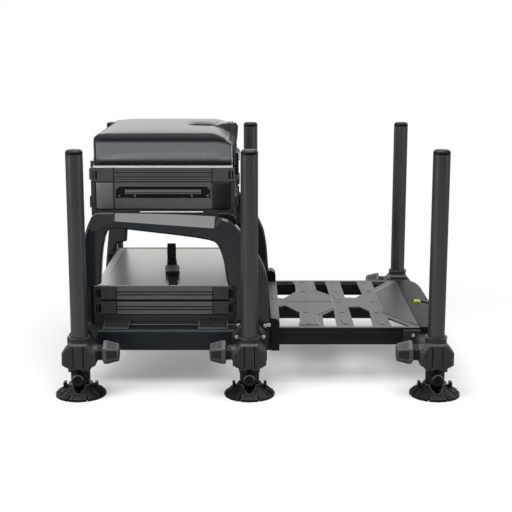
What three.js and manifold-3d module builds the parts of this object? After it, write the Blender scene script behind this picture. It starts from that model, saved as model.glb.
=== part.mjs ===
import * as THREE from 'three';
import { mergeVertices } from 'three/addons/utils/BufferGeometryUtils.js';
import Module from 'manifold-3d';

// A fishing seat box on six telescopic legs: two arch side frames carry a seat unit with a drawer
// and a tray, a lower unit with two drawers under a strapped deck, and a footplate on rails.
// Millimetres. +X runs to the angler's front, +Y away from the viewed side, +Z up; the origin is
// on the ground under the middle of the leg rows.

const wasm = await Module();
wasm.setup();

// Fits between pieces
const fitGap = 0.3;
const runningGap = 0.4;
const drawerGap = 0.6;
const cutOver = 2;
const weldOver = 1.5;

// Sides and rings of round pieces
const boreSides = 16;
const collarSides = 20;
const rodSides = 12;
const pinSides = 8;
const gripSides = 6;
const ballSides = 18;
const ballRings = 9;

// Leg rows
const boxToRearLeg = 15.5;
const legSpacingFront = 391;
const archToLeg = 68;

// Telescopic legs
const legDiameter = 36;
const legWall = 2.3;
const legTop = 519;
const fluteCount = 16;
const fluteDepth = 0.6;
const capHeight = 10;
const capEdge = 4;
const capDimpleRadius = 5;
const capDimpleDepth = 1;
const plugLength = 24;

// Leg clamps: the octagonal boss, its collar, neck and arm
const bossHalfWidth = 35;
const bossHalfDepth = 27;
const bossTop = 116.5;
const bossShoulderHalf = 18;
const bossShoulderDrop = 19.5;
const bossSideHeight = 27;
const bossNeckHalf = 22;
const bossNeckTop = 63;
const bossNeckBottom = 55.8;
const bossBevel = 4;
const bossBandHalf = 9;
const bossBandRaise = 2;
const collarRadius = 22.5;
const collarHeight = 9.5;
const knobBossRadius = 17;
const knobBossReach = 38;
const armHalfWidth = 30;
const middleArmHalfWidth = 37;
const armBottom = 66;
const armTop = 117;
const armRidgeTop = 141;
const armRidgeHalf = 15;
const frontArmTop = 106;
const frontArmEdge = 6;

// Clamp knobs: a six-sided grip on a clamp screw
const knobHeight = 92;
const knobScrewRadius = 5;
const knobNeckRadius = 16;
const knobNeckLength = 10;
const knobGripRadius = 26;
const knobGripFlare = 8;
const knobGripLength = 36;
const knobEndRadius = 19;
const knobEndDome = 2;

// Feet: the ball knuckle with its locking screw, and the tilting mud foot
const ballRadius = 18.5;
const ballHeight = 26;
const knuckleRadius = 20.5;
const knuckleBottom = 34;
const knuckleTop = 51.5;
const lockScrewRadius = 12;
const lockScrewShankRadius = 8;
const lockScrewReach = 40;
const lockScrewHeight = 43;
const lockScrewSocketRadius = 7;
const lockScrewSocketDepth = 4;
const footRadius = 53.5;
const footRim = 5;
const footConeTop = 22;
const cupWall = 5;
const cupClearance = 0.8;
const cupMouthRadius = 13;
const petalCount = 8;
const petalSlot = 3.5;
const petalSlotDepth = 10;
const lugOffset = 30;
const lugThickness = 6;
const lugWidth = 15;
const lugTop = 28;
const lugHoleRadius = 3;

// Arch side frames
const boxToArch = 22.5;
const archThickness = 24.5;
const archFrontReach = 46;
const archBottom = 75;
const archTop = 375.5;
const archBevel = 4;
const beamTop = 121;
const windowMargin = 3;
const windowStep = 215;
const windowRearInset = 25;
const windowFrontInset = 14.5;
const facetRearDrop = 16.5;
const facetFrontDrop = 31.5;
const facetRearInset = 57;
const facetFrontInset = 44;
const facetEndLean = 1.2;
const flangeThickness = 1.6;
const flangeToBox = 1.5;
const ledgeTop = 364;
const ledgeHeight = 14;
const ledgeWidth = 38;
const ledgeInset = 32;

// Cross beams on the arches' bottom beams
const crossBeamThickness = 10.7;
const crossBeamLip = 2;
const crossBeamEnd = 4;
const crossBeamSlope = 32;
const rearBeamWidth = 54;
const rearBeamInset = 27.5;
const frontBeamWidth = 62;
const frontBeamInset = 16.5;

// The seat box: the footprint shared by both units
const boxLength = 309;
const boxDepth = 410;
const boxToLeg = 13.5;
const sideWallInset = 3;
const sideWall = 4;
const backWall = 3;
const postDepth = 30;
const endBlockLength = 49;

// Lower unit: floor, skirts, posts and shelf around two drawers, and the deck over them
const lowerFloorThickness = 9.7;
const skirtDepth = 12;
const skirtClearance = 0.8;
const lowerPostThickness = 13.4;
const lowerBayHeight = 31;
const shelfThickness = 2;
const shelfInset = 16;
const postSlotWidth = 3;
const postSlotInset = 3.5;
const postSlotHeight = 18;
const postSlotDepth = 5;
const deckThickness = 3;
const deckOverlap = 3;

// Drawers: a front with end-block lines and grooves, and an open box behind it
const frontThickness = 15;
const frontPlay = 0.5;
const drawerWall = 2.5;
const drawerBodyInset = 2;
const drawerBodyDrop = 3;
const drawerBackGap = 4;
const grooveHeight = 2.4;
const grooveDepth = 1.6;
const grooveOffset = 2;
const lineWidth = 1.4;
const lineDepth = 1.2;

// Upper drawer unit, its drawer with a recessed pull, and the tray over it
const caseFloorThickness = 12.2;
const upperPostThickness = 8.9;
const upperBayHeight = 60;
const recessMargin = 4;
const recessBottom = 24;
const recessHeight = 26;
const recessCorner = 8;
const recessDepth = 11;
const handleEndGap = 20;
const handleBottom = 33.5;
const handleHeight = 9;
const handleThickness = 6;
const handleInset = 2;
const handleStandWidth = 9;
const trayHeight = 30;
const trayWall = 3;
const trayFloor = 2.5;
const trayGroovePitch = 9;
const clipThickness = 5;
const clipHeight = 24;
const clipWidth = 40;
const clipEndInset = 12;
const clipBottom = 3;

// Seat: base plate, hinge at the rear and latch at the front
const seatPlateThickness = 5;
const seatRearInset = 6;
const seatFrontInset = 5;
const seatSideInset = 2;
const hingeReach = 6;
const hingeRadius = 4;
const hingePinRadius = 2;
const hingeBarrelLength = 30;
const hingeLugLength = 8;
const hingeLugHeight = 20;
const hingeInset = 90;
const latchInset = 33;
const latchWidth = 44;
const latchThickness = 7;
const latchPivotDrop = 20.8;
const latchLength = 52;
const latchNoseHeight = 3;
const latchPinRadius = 1.6;
const latchLugLength = 6;
const latchLugReach = 4;

// Cushion: drawn in at its foot, rounded at the top, crowned, dished and dropped at the thighs
const cushionFrontReach = 4;
const cushionRearReach = -2;
const cushionTuck = 4;
const cushionSideHeight = 66;
const cushionEdge = 13;
const cushionCorner = 14;
const cushionCrown = 2.5;
const cushionScoopDepth = 7;
const cushionScoopLength = 100;
const cushionScoopWidth = 130;
const cushionScoopToFront = 68;
const thighDrop = 21;
const pommelReach = 9;
const cushionColumns = 18;
const cushionRows = 18;
const cushionLayers = 6;

// Deck strap with its standing tab, and the buckle on it
const strapWidth = 25;
const strapThickness = 2;
const strapTabHeight = 41;
const strapTabOffset = 36;
const strapNearShift = 19;
const strapFarShift = -16.5;
const buckleWidth = 32;
const buckleLength = 66;
const buckleHeight = 9;
const buckleOffset = 85;
const buckleWaist = 20;
const buckleWaistLength = 12;

// Footplate: rails, panel, nose moulding and level
const railRear = -40;
const railEndInset = 20.5;
const railBottom = 81;
const railHeight = 34;
const railWidth = 25;
const railWall = 3;
const railSkirt = 14;
const railToArch = 1.5;
const railLipHeight = 4;
const railLipWidth = 4;
const panelThickness = 3.7;
const panelRear = 24;
const hubRaise = 1.2;
const ribOffset = 24;
const ribThickness = 6;
const ribDrop = 28;
const noseLength = 63;
const noseBottom = 90;
const noseRaise = 2;
const noseFlat = 22;
const noseDroop = 12;
const noseLip = 5;
const noseCorner = 34;
const noseSlotHalf = 8;
const noseSlotInset = 15;
const noseSlotDepth = 7;
const noseRecess = 11;
const noseRecessHalf = 26;
const levelRadius = 4.5;
const levelLength = 18;
const levelInset = 2;

// Rail sockets on the arches' front feet
const socketRearInset = 10;
const socketLength = 28.5;
const socketTop = 147;
const socketRound = 13;
const socketInnerWall = 5;
const socketPanelLip = 11;

// Front leg arms: a tongue along the rail's outer face
const tongueLength = 36;
const tongueThickness = 9;
const tongueDrop = 4;

// Shares of an outline's length and height, chosen by hand
const archOuterShares = [
  [1, 0.233], [0.992, 0.416], [0.983, 0.506], [0.973, 0.586], [0.957, 0.636], [0.941, 0.689],
  [0.851, 0.87], [0.818, 0.925], [0.788, 0.955], [0.74, 0.975], [0.154, 1], [0.124, 0.985], [0.096, 0.915],
  [0.064, 0.749], [0.031, 0.3], [0.027, 0.216], [0, 0.123],
];
const windowTopShares = [
  [0, 0.044], [0.018, 0.467], [0.051, 0.748], [0.095, 0.804], [0.178, 0.791],
  [0.875, 0.651], [0.93, 0.561], [0.969, 0.349], [0.989, 0.1], [0.998, 0.025],
];
const panelHoleShares = [
  [[0.076, 0.966], [0.2, 0.966], [0.216, 0.803], [0.216, 0.451], [0.119, 0.153], [0.076, 0.19]],
  [[0.368, 0.966], [0.456, 0.966], [0.462, 0.325], [0.374, 0.532]],
  [[0.571, 0.966], [0.699, 0.966], [0.708, 0.37], [0.65, 0.19], [0.571, 0.208]],
  [[0.818, 0.966], [0.942, 0.966], [0.818, 0.641]],
];
const hubShares = [
  [0.119, 0.135], [0.222, 0.46], [0.222, 0.803], [0.205, 0.839], [0.205, 0.92],
  [0.334, 0.92], [0.334, 0.532], [0.465, 0.248],
];
const nosePlateShares = [[0.802, 0.42], [0.985, 0.92], [1, 0.92]];

// Share of the tuck, the edge and the height at each level up the cushion's side
const cushionLevelShares = [
  [1, 0, 0], [0.25, 0, 0.2], [0, 0, 0.5], [0, 0, 0.8], [0, 0.13, 0.9], [0, 0.5, 0.974], [0, 1, 1],
];
const thighStartShare = 0.72;

// Shares of the half width where the pommel's flank starts and ends, at the back and at the front
const flankStartShares = [0.2, 0.05];
const flankEndShares = [0.42, 0.25];

// How far along its two straights a corner's curve starts, and the steps in each curve
const curveShare = 0.42;
const curveSteps = 3;

// Tone of each finish
const finishes = {
  tube: { color: 0x45474a, roughness: 0.42, metalness: 0.75 },
  casting: { color: 0x3b3d3e, roughness: 0.6, metalness: 0.35 },
  knob: { color: 0x484b4a, roughness: 0.62, metalness: 0.05 },
  blackPlastic: { color: 0x141515, roughness: 0.55, metalness: 0.0 },
  gloss: { color: 0x161d22, roughness: 0.16, metalness: 0.35 },
  extrusion: { color: 0x5b5d5f, roughness: 0.4, metalness: 0.7 },
  corner: { color: 0x3d3e40, roughness: 0.66, metalness: 0.0 },
  deck: { color: 0x9c9c97, roughness: 0.36, metalness: 0.8 },
  plate: { color: 0x84857f, roughness: 0.45, metalness: 0.7 },
  seatRim: { color: 0xd8dadb, roughness: 0.45, metalness: 0.0 },
  cushion: { color: 0x6d7074, roughness: 0.7, metalness: 0.0 },
  webbing: { color: 0x101010, roughness: 0.85, metalness: 0.0 },
  level: { color: 0xc9dc4a, roughness: 0.2, metalness: 0.0 },
};

// Places worked out from the sizes
const legRadius = legDiameter / 2;
const legBore = legRadius - legWall;
const bossBore = legRadius + runningGap;
const legSpacingRear = boxToRearLeg + boxLength + boxToLeg + legRadius;
const frontLegX = (legSpacingRear + legSpacingFront) / 2;
const rearLegX = -frontLegX;
const middleLegX = rearLegX + legSpacingRear;
const capSeat = legTop - capHeight;
const tubeBottom = knuckleTop + fitGap;

const boxSideY = boxDepth / 2;
const archInnerY = boxSideY + boxToArch;
const archOuterY = archInnerY + archThickness;
const legRowY = archOuterY + archToLeg;
const archRearX = rearLegX - armHalfWidth;
const archFrontX = middleLegX + archFrontReach;
const boxFrontX = middleLegX - legRadius - boxToLeg;
const boxRearX = boxFrontX - boxLength;
const boxMiddleX = (boxFrontX + boxRearX) / 2;
const blockJoint = boxLength / 2 - endBlockLength;
const lowerDrawerWidth = boxLength - 2 * (lowerPostThickness + drawerGap);
const upperDrawerWidth = boxLength - 2 * (upperPostThickness + drawerGap);
const wallOuterX = boxLength / 2 - sideWallInset;
const wallInnerX = wallOuterX - sideWall;
const windowRearX = boxRearX - windowMargin;
const windowFrontX = boxFrontX;
const facetRearX = boxRearX + facetRearInset;
const facetFrontX = boxFrontX - facetFrontInset;

const crossBeamBottom = beamTop + fitGap;
const crossBeamTop = crossBeamBottom + crossBeamThickness;
const rearBeamX = windowRearX + rearBeamInset;
const frontBeamX = windowFrontX - frontBeamInset - frontBeamWidth;

const railOuterY = archInnerY - railToArch;
const railInnerY = railOuterY - railWidth;
const railTop = railBottom + railHeight;
const railFrontX = frontLegX - railEndInset;
const panelBottom = railTop + fitGap;
const panelTop = panelBottom + panelThickness;
const panelSideY = railOuterY - railLipWidth - runningGap;
const panelLength = railFrontX - panelRear;
const noseRear = railFrontX + fitGap;
const noseFront = noseRear + noseLength;

const floorBottom = crossBeamTop + fitGap;
const floorTop = floorBottom + lowerFloorThickness;
const skirtBottom = panelTop + hubRaise + skirtClearance;
const shelfBottom = floorTop + lowerBayHeight;
const shelfTop = shelfBottom + shelfThickness;
const lowerUnitTop = shelfTop + lowerBayHeight;
const deckBottom = lowerUnitTop + fitGap;
const deckTop = deckBottom + deckThickness;
const strapBottom = deckTop + fitGap;
const strapTop = strapBottom + strapThickness;

const caseBottom = ledgeTop + fitGap;
const caseFloorTop = caseBottom + caseFloorThickness;
const caseTop = caseFloorTop + upperBayHeight;
const trayBottom = caseTop + fitGap;
const trayTop = trayBottom + trayHeight;
const seatPlateBottom = trayTop + fitGap;
const seatPlateTop = seatPlateBottom + seatPlateThickness;
const seatRearX = boxRearX + seatRearInset;
const seatFrontX = boxFrontX - seatFrontInset;
const seatSideY = boxSideY - seatSideInset;
const hingeX = boxRearX - hingeReach;
const hingeOffset = boxSideY - hingeInset;
const hingeZ = seatPlateBottom + seatPlateThickness / 2;
const latchX = boxFrontX + latchThickness / 2 + drawerGap;
const latchOffset = boxSideY - latchInset;
const latchZ = trayTop - latchPivotDrop;
const cushionBottom = seatPlateTop + fitGap;

// Closed solids from three.js geometry, with their faces turned outward

function tripleProduct(points, a, b, c) {
  const [p, q, r] = [a, b, c].map((n) => new THREE.Vector3().fromArray(points, 3 * n));
  return p.dot(q.cross(r));
}

function toSolid(geometry) {
  geometry.deleteAttribute('normal');
  geometry.deleteAttribute('uv');
  const merged = mergeVertices(geometry);
  const points = new Float32Array(merged.attributes.position.array);
  const corners = merged.index.array;
  const triangles = [];
  let volume = 0;
  for (let i = 0; i < corners.length; i += 3) {
    const [a, b, c] = [corners[i], corners[i + 1], corners[i + 2]];
    if (a !== b && b !== c && a !== c) {
      triangles.push([a, b, c]);
      volume += tripleProduct(points, a, b, c);
    }
  }
  const facing = volume < 0 ? triangles.map(([a, b, c]) => [a, c, b]) : triangles;
  const mesh = new wasm.Mesh({
    numProp: 3,
    vertProperties: points,
    triVerts: new Uint32Array(facing.flat()),
  });
  return new wasm.Manifold(mesh);
}

function toGeometry(solid) {
  const mesh = solid.getMesh();
  const geometry = new THREE.BufferGeometry();
  geometry.setAttribute('position', new THREE.BufferAttribute(new Float32Array(mesh.vertProperties), 3));
  geometry.setIndex(new THREE.BufferAttribute(new Uint32Array(mesh.triVerts), 1));
  geometry.computeVertexNormals();
  return geometry;
}

// The same solid reflected across the planes whose factor is -1
function mirrored(solid, alongX, alongY) {
  const geometry = toGeometry(solid);
  geometry.scale(alongX, alongY, 1);
  return toSolid(geometry);
}

function join(first, ...others) {
  return others.reduce((whole, other) => whole.add(other), first);
}

function cut(first, ...others) {
  return others.reduce((whole, other) => whole.subtract(other), first);
}

// Shapes and the solids made from them

function outline(points, holes = []) {
  const toPath = (list) => list.map(([x, y]) => new THREE.Vector2(x, y));
  const shape = new THREE.Shape(toPath(points));
  shape.holes = holes.map((hole) => new THREE.Path(toPath(hole)));
  return shape;
}

function extruded(shape, depth, bevel) {
  return new THREE.ExtrudeGeometry(shape, {
    depth: depth - 2 * bevel,
    curveSegments: 6,
    bevelEnabled: bevel > 0,
    bevelThickness: bevel,
    bevelSize: bevel,
    bevelOffset: -bevel,
    bevelSegments: 1,
  }).translate(0, 0, bevel);
}

// A shape in X and Y raised from one height to another
function prismZ(shape, bottom, top) {
  return toSolid(extruded(shape, top - bottom, 0).translate(0, 0, bottom));
}

// A shape in X and Z run along Y
function prismY(shape, from, to, bevel = 0) {
  return toSolid(extruded(shape, to - from, bevel).rotateX(Math.PI / 2).translate(0, to, 0));
}

// A shape in Y and Z run along X
function prismX(shape, from, to) {
  const turn = new THREE.Matrix4().makeBasis(
    new THREE.Vector3(0, 1, 0),
    new THREE.Vector3(0, 0, 1),
    new THREE.Vector3(1, 0, 0),
  );
  return toSolid(extruded(shape, to - from, 0).applyMatrix4(turn).translate(from, 0, 0));
}

// A block between pairs of limits, in either order
function blockGeometry(xs, ys, zs) {
  const [x, y, z] = [xs, ys, zs].map((pair) => [Math.min(...pair), Math.max(...pair)]);
  const box = new THREE.BoxGeometry(x[1] - x[0], y[1] - y[0], z[1] - z[0]);
  return box.translate((x[0] + x[1]) / 2, (y[0] + y[1]) / 2, (z[0] + z[1]) / 2);
}

function block(xs, ys, zs) {
  return toSolid(blockGeometry(xs, ys, zs));
}

// A solid of revolution about Z from a profile of radius and height
function turnedZ(profile, sides) {
  const points = profile.map(([radius, height]) => new THREE.Vector2(radius, height));
  return toSolid(new THREE.LatheGeometry(points, sides).rotateX(Math.PI / 2));
}

// A solid of revolution about X from a profile of radius and distance
function turnedX(profile, sides, y, z) {
  const points = profile.map(([radius, distance]) => new THREE.Vector2(radius, distance));
  return toSolid(new THREE.LatheGeometry(points, sides).rotateZ(-Math.PI / 2).translate(0, y, z));
}

function rodProfile(radius, from, to) {
  return [[0, from], [radius, from], [radius, to], [0, to]];
}

function rodX(radius, from, to, y, z, sides = rodSides) {
  return turnedX(rodProfile(radius, from, to), sides, y, z);
}

function rodY(radius, from, to, x, z, sides = rodSides) {
  const rod = new THREE.CylinderGeometry(radius, radius, Math.abs(to - from), sides);
  return toSolid(rod.translate(x, (from + to) / 2, z));
}

function rodZ(radius, from, to, sides = collarSides) {
  return turnedZ(rodProfile(radius, from, to), sides);
}

function ballAt(radius, height) {
  const ball = new THREE.SphereGeometry(radius, ballSides, ballRings).rotateX(Math.PI / 2);
  return toSolid(ball.translate(0, 0, height));
}

// Adds one named piece to a group
function addPiece(group, name, solid, finish) {
  const mesh = new THREE.Mesh(toGeometry(solid), new THREE.MeshStandardMaterial(finishes[finish]));
  mesh.name = name;
  group.add(mesh);
  return mesh;
}

// Leg parts, on the leg's own axis, outboard towards -Y and the knob towards +X

function legTube() {
  const ring = [];
  for (let i = 0; i < 2 * fluteCount; i += 1) {
    const angle = (Math.PI * i) / fluteCount;
    const radius = legRadius - (i % 2) * fluteDepth;
    ring.push([radius * Math.cos(angle), radius * Math.sin(angle)]);
  }
  const body = prismZ(outline(ring), tubeBottom, capSeat - fitGap);
  return cut(body, rodZ(legBore, tubeBottom - cutOver, capSeat + cutOver, boreSides));
}

// What plugs into the tube's end: it clears the flats of the faceted bore
function plugRadius() {
  return (legBore - runningGap) * Math.cos(Math.PI / boreSides);
}

function legCap() {
  return turnedZ([
    [0, legTop - capDimpleDepth],
    [capDimpleRadius, legTop],
    [legRadius - capEdge, legTop],
    [legRadius, legTop - capEdge],
    [legRadius, capSeat],
    [plugRadius(), capSeat],
    [plugRadius(), capSeat - plugLength],
    [0, capSeat - plugLength],
  ], boreSides);
}

// Sections of a clamp's arm: ridged along its top on the arches, and low on the rails
function ridgedArm(halfWidth) {
  return outline([
    [-halfWidth, armBottom],
    [halfWidth, armBottom],
    [halfWidth, armTop],
    [armRidgeHalf, armRidgeTop],
    [-armRidgeHalf, armRidgeTop],
    [-halfWidth, armTop],
  ]);
}

function lowArm(halfWidth) {
  return outline([
    [-halfWidth, armBottom],
    [halfWidth, armBottom],
    [halfWidth, frontArmTop - frontArmEdge],
    [halfWidth - frontArmEdge, frontArmTop],
    [frontArmEdge - halfWidth, frontArmTop],
    [-halfWidth, frontArmTop - frontArmEdge],
  ]);
}

// The clamp boss with an arm of the given section that reaches inboard by the given distance
function legBoss(arm, reach, extras = []) {
  const sideTop = bossTop - bossShoulderDrop;
  const sideBottom = sideTop - bossSideHeight;
  const face = outline([
    [-bossShoulderHalf, bossTop],
    [-bossHalfWidth, sideTop],
    [-bossHalfWidth, sideBottom],
    [-bossNeckHalf, bossNeckTop],
    [-bossNeckHalf, bossNeckBottom],
    [bossNeckHalf, bossNeckBottom],
    [bossNeckHalf, bossNeckTop],
    [bossHalfWidth, sideBottom],
    [bossHalfWidth, sideTop],
    [bossShoulderHalf, bossTop],
  ]);
  const body = join(
    prismY(face, -bossHalfDepth, bossHalfDepth, bossBevel),
    rodZ(collarRadius, bossTop - bossBevel, bossTop + collarHeight),
    block(
      [-bossBandHalf, bossBandHalf],
      [-bossHalfDepth - bossBandRaise, 0],
      [bossNeckTop, bossTop - bossBevel],
    ),
    rodX(knobBossRadius, 0, knobBossReach, 0, knobHeight),
    prismY(arm, bossHalfDepth - bossBevel, reach),
    ...extras,
  );
  return cut(
    body,
    rodZ(bossBore, bossNeckBottom - cutOver, armRidgeTop + cutOver),
    rodX(knobScrewRadius + runningGap, 0, knobBossReach + cutOver, 0, knobHeight),
  );
}

// The front clamps also reach past the end of the rail with a tongue along its outer face
function frontLegBoss() {
  const reach = legRowY - railOuterY - fitGap;
  const tongue = block(
    [railEndInset - weldOver, railEndInset + tongueLength],
    [reach - tongueThickness, reach],
    [railBottom + tongueDrop, railTop],
  );
  return legBoss(lowArm(armHalfWidth), reach, [tongue]);
}

function lockKnob() {
  const seat = knobBossReach + runningGap;
  const grip = seat + knobNeckLength;
  const screw = rodX(knobScrewRadius, bossBore, seat + weldOver, 0, knobHeight);
  const body = turnedX([
    [0, seat],
    [knobNeckRadius, seat],
    [knobNeckRadius, grip],
    [knobGripRadius, grip + knobEndDome],
    [knobGripRadius, grip + knobGripFlare],
    [knobEndRadius, grip + knobGripLength - knobEndDome],
    [0, grip + knobGripLength],
  ], gripSides, 0, knobHeight);
  return join(screw, body);
}

function footKnuckle() {
  const body = join(
    ballAt(ballRadius, ballHeight),
    rodZ(knuckleRadius, knuckleBottom, knuckleTop, boreSides),
    rodZ(plugRadius(), knuckleTop - weldOver, knuckleTop + plugLength, boreSides),
    rodY(lockScrewRadius, -lockScrewReach, -legRadius - runningGap, 0, lockScrewHeight),
    rodY(lockScrewShankRadius, -knuckleRadius - weldOver, 0, 0, lockScrewHeight),
  );
  const socketFloor = -lockScrewReach + lockScrewSocketDepth;
  const mouth = -lockScrewReach - cutOver;
  return cut(body, rodY(lockScrewSocketRadius, mouth, socketFloor, 0, lockScrewHeight, gripSides));
}

function mudFoot() {
  const hollow = ballRadius + cupClearance;
  const cupRadius = hollow + cupWall;
  const dish = turnedZ([
    [0, 0],
    [footRadius, 0],
    [footRadius, footRim],
    [cupRadius, footConeTop],
    [cupRadius, ballHeight],
    [0, ballHeight],
  ], boreSides);
  const lugs = [-1, 1].map((side) => cut(
    block(
      [side * lugOffset, side * (lugOffset + lugThickness)],
      [-lugWidth / 2, lugWidth / 2],
      [footRim, lugTop],
    ),
    rodX(lugHoleRadius, -footRadius, footRadius, 0, lugTop - lugThickness, pinSides),
  ));
  const slots = [];
  for (let i = 0; i < petalCount; i += 1) {
    const slot = blockGeometry(
      [footRadius - petalSlotDepth, footRadius + cutOver],
      [-petalSlot / 2, petalSlot / 2],
      [-cutOver, footConeTop],
    );
    slots.push(toSolid(slot.rotateZ((2 * Math.PI * (i + 0.5)) / petalCount)));
  }
  const mouth = rodY(cupMouthRadius, -footRadius, 0, 0, ballHeight);
  return cut(join(dish, ...lugs), ballAt(hollow, ballHeight), mouth, ...slots);
}

// One leg: its clamp stays where it is, and the tube, cap and foot go up and down through it
function addLeg(group, column, row) {
  const leg = new THREE.Group();
  leg.position.set(column.x, row.side * legRowY, 0);
  const suffix = `${column.name}_${row.name}`;
  const place = (solid) => mirrored(solid, column.knob, -row.side);
  addPiece(leg, `leg_boss_${suffix}`, place(column.boss), 'casting');
  addPiece(leg, `lock_knob_${suffix}`, place(lockKnob()), 'knob');
  addPiece(leg, `leg_tube_${suffix}`, place(legTube()), 'tube');
  addPiece(leg, `leg_cap_${suffix}`, place(legCap()), 'blackPlastic');
  addPiece(leg, `foot_knuckle_${suffix}`, place(footKnuckle()), 'casting');
  addPiece(leg, `mud_foot_${suffix}`, place(mudFoot()), 'blackPlastic');
  group.add(leg);
}

// Chassis pieces, made for the far side (+1) or the near side (-1)

// Rounds the corners along an open run of points
function eased(points) {
  const path = new THREE.Path();
  path.moveTo(...points[0]);
  for (let i = 1; i < points.length - 1; i += 1) {
    const [x, y] = points[i];
    const [from, to] = [points[i - 1], points[i + 1]].map(
      (end) => [x + curveShare * (end[0] - x), y + curveShare * (end[1] - y)],
    );
    path.lineTo(...from);
    path.quadraticCurveTo(x, y, ...to);
  }
  path.lineTo(...points[points.length - 1]);
  return path.getPoints(curveSteps).map((point) => [point.x, point.y]);
}

// All that lies above the slanted facet along the arch's outer top edge
function aboveFacet() {
  const start = new THREE.Vector3(facetRearX, archOuterY, archTop - facetRearDrop);
  const end = new THREE.Vector3(facetFrontX, archOuterY, archTop - facetFrontDrop);
  const along = end.clone().sub(start).normalize();
  const across = along.clone().cross(new THREE.Vector3(0, 1, 1)).normalize();
  const outward = across.clone().cross(along);
  const reach = archFrontX - archRearX;
  const length = start.distanceTo(end);
  const space = outline([[-reach, 0], [length, 0], [length + facetEndLean * reach, reach], [-reach, reach]]);
  const turn = new THREE.Matrix4().makeBasis(along, outward, across).setPosition(start);
  return toSolid(extruded(space, 2 * reach, 0).translate(0, 0, -reach).applyMatrix4(turn));
}

function sideArch(side) {
  const length = archFrontX - archRearX;
  const height = archTop - archBottom;
  const windowRear = windowRearX + windowRearInset;
  const windowLength = windowFrontX - windowFrontInset - windowRear;
  const windowHeight = archTop - windowStep;
  const edge = archOuterShares.map(([x, z]) => [archRearX + x * length, archBottom + z * height]);
  const arc = windowTopShares.map(([x, z]) => [windowRear + x * windowLength, windowStep + z * windowHeight]);
  const opening = [
    [windowRearX, beamTop],
    [windowRearX, windowStep],
    ...eased(arc),
    [windowFrontX, windowStep],
    [windowFrontX, beamTop],
  ];
  const shape = outline([[archRearX, archBottom], [archFrontX, archBottom], ...eased(edge)], [opening]);
  const ledge = block(
    [boxRearX + ledgeInset, boxFrontX - ledgeInset],
    [archInnerY - ledgeWidth, archInnerY + weldOver],
    [ledgeTop - ledgeHeight, ledgeTop],
  );
  const flange = block(
    [windowRearX, windowFrontX],
    [boxSideY + flangeToBox, archInnerY + archBevel + weldOver],
    [beamTop - flangeThickness, beamTop],
  );
  const frame = cut(prismY(shape, archInnerY, archOuterY, archBevel), aboveFacet());
  return mirrored(join(frame, ledge, flange), 1, side);
}

function crossBeam(from, width) {
  const end = archOuterY - crossBeamEnd;
  const flat = end - crossBeamSlope;
  const section = outline([
    [-end, crossBeamBottom],
    [end, crossBeamBottom],
    [end, crossBeamBottom + crossBeamLip],
    [flat, crossBeamTop],
    [-flat, crossBeamTop],
    [-end, crossBeamBottom + crossBeamLip],
  ]);
  return prismX(section, from, from + width);
}

// The block at the arch's front foot that the rail slides in
function railSocket(side) {
  const front = archFrontX - socketRearInset + socketLength;
  const rear = archFrontX - socketRearInset;
  const rise = new THREE.Shape();
  rise.moveTo(rear, archBottom);
  rise.lineTo(front, archBottom);
  rise.lineTo(front, socketTop - socketRound);
  rise.absarc(front - socketRound, socketTop - socketRound, socketRound, 0, Math.PI / 2, false);
  rise.lineTo(rear, socketTop);
  const inner = railInnerY - socketInnerWall;
  const past = [rear - cutOver, front + cutOver];
  const body = prismY(rise, inner, archOuterY);
  const passage = block(
    past,
    [railInnerY - runningGap, railOuterY + runningGap],
    [railBottom - runningGap, railTop + railLipHeight + runningGap],
  );
  const panelWay = block(
    past,
    [inner - cutOver, railOuterY - socketPanelLip],
    [railTop - runningGap, socketTop + cutOver],
  );
  const archFoot = block(
    [rear - cutOver, archFrontX + fitGap],
    [archInnerY - fitGap, archOuterY + cutOver],
    [archBottom - cutOver, socketTop + cutOver],
  );
  return mirrored(cut(body, passage, panelWay, archFoot), 1, side);
}

// Boxes of the seat box, in a frame with X from the box's middle

// Two upright black slots in the near end of each front corner
function cornerSlots(bottom) {
  const outer = boxLength / 2 - postSlotInset;
  return [-1, 1].flatMap((side) => [0, 1].map((n) => {
    const from = outer - 2 * n * postSlotWidth;
    return block(
      [side * from, side * (from - postSlotWidth)],
      [-boxSideY - cutOver, -boxSideY + postSlotDepth],
      [bottom, bottom + postSlotHeight],
    );
  }));
}

// Upright lines that mark off a front's end blocks, and the grooves along the stretch between
function frontLines(faceY, bottom, top, grooveHeights) {
  const uprights = [-1, 1].map((side) => block(
    [side * blockJoint - lineWidth / 2, side * blockJoint + lineWidth / 2],
    [faceY - cutOver, faceY + lineDepth],
    [bottom - cutOver, top + cutOver],
  ));
  const grooves = grooveHeights.map((height) => block(
    [-blockJoint, blockJoint],
    [faceY - cutOver, faceY + grooveDepth],
    [height, height + grooveHeight],
  ));
  return [...uprights, ...grooves];
}

// Side walls, back wall and corner posts around a bay
function bayWalls(bottom, top, postThickness) {
  const rise = [bottom - weldOver, top];
  const walls = [-1, 1].map((side) => block(
    [side * wallInnerX, side * wallOuterX],
    [-boxSideY + weldOver, boxSideY],
    rise,
  ));
  const posts = [-1, 1].flatMap((side) => [-1, 1].map((end) => block(
    [side * (boxLength / 2 - postThickness), (side * boxLength) / 2],
    [end * boxSideY, end * (boxSideY - postDepth)],
    rise,
  )));
  const back = block([-wallOuterX, wallOuterX], [boxSideY - backWall, boxSideY], rise);
  return [...walls, ...posts, back];
}

// Snap clips on a unit's front (+1) and rear (-1) ends, near its near (-1) and far (+1) corners
function endClips(reach, bottom, corners) {
  return corners.map(([side, end]) => block(
    [side * (reach - weldOver), side * (boxLength / 2 + clipThickness)],
    [end * (boxSideY - clipEndInset), end * (boxSideY - clipEndInset - clipWidth)],
    [bottom, bottom + clipHeight],
  ));
}

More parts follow.
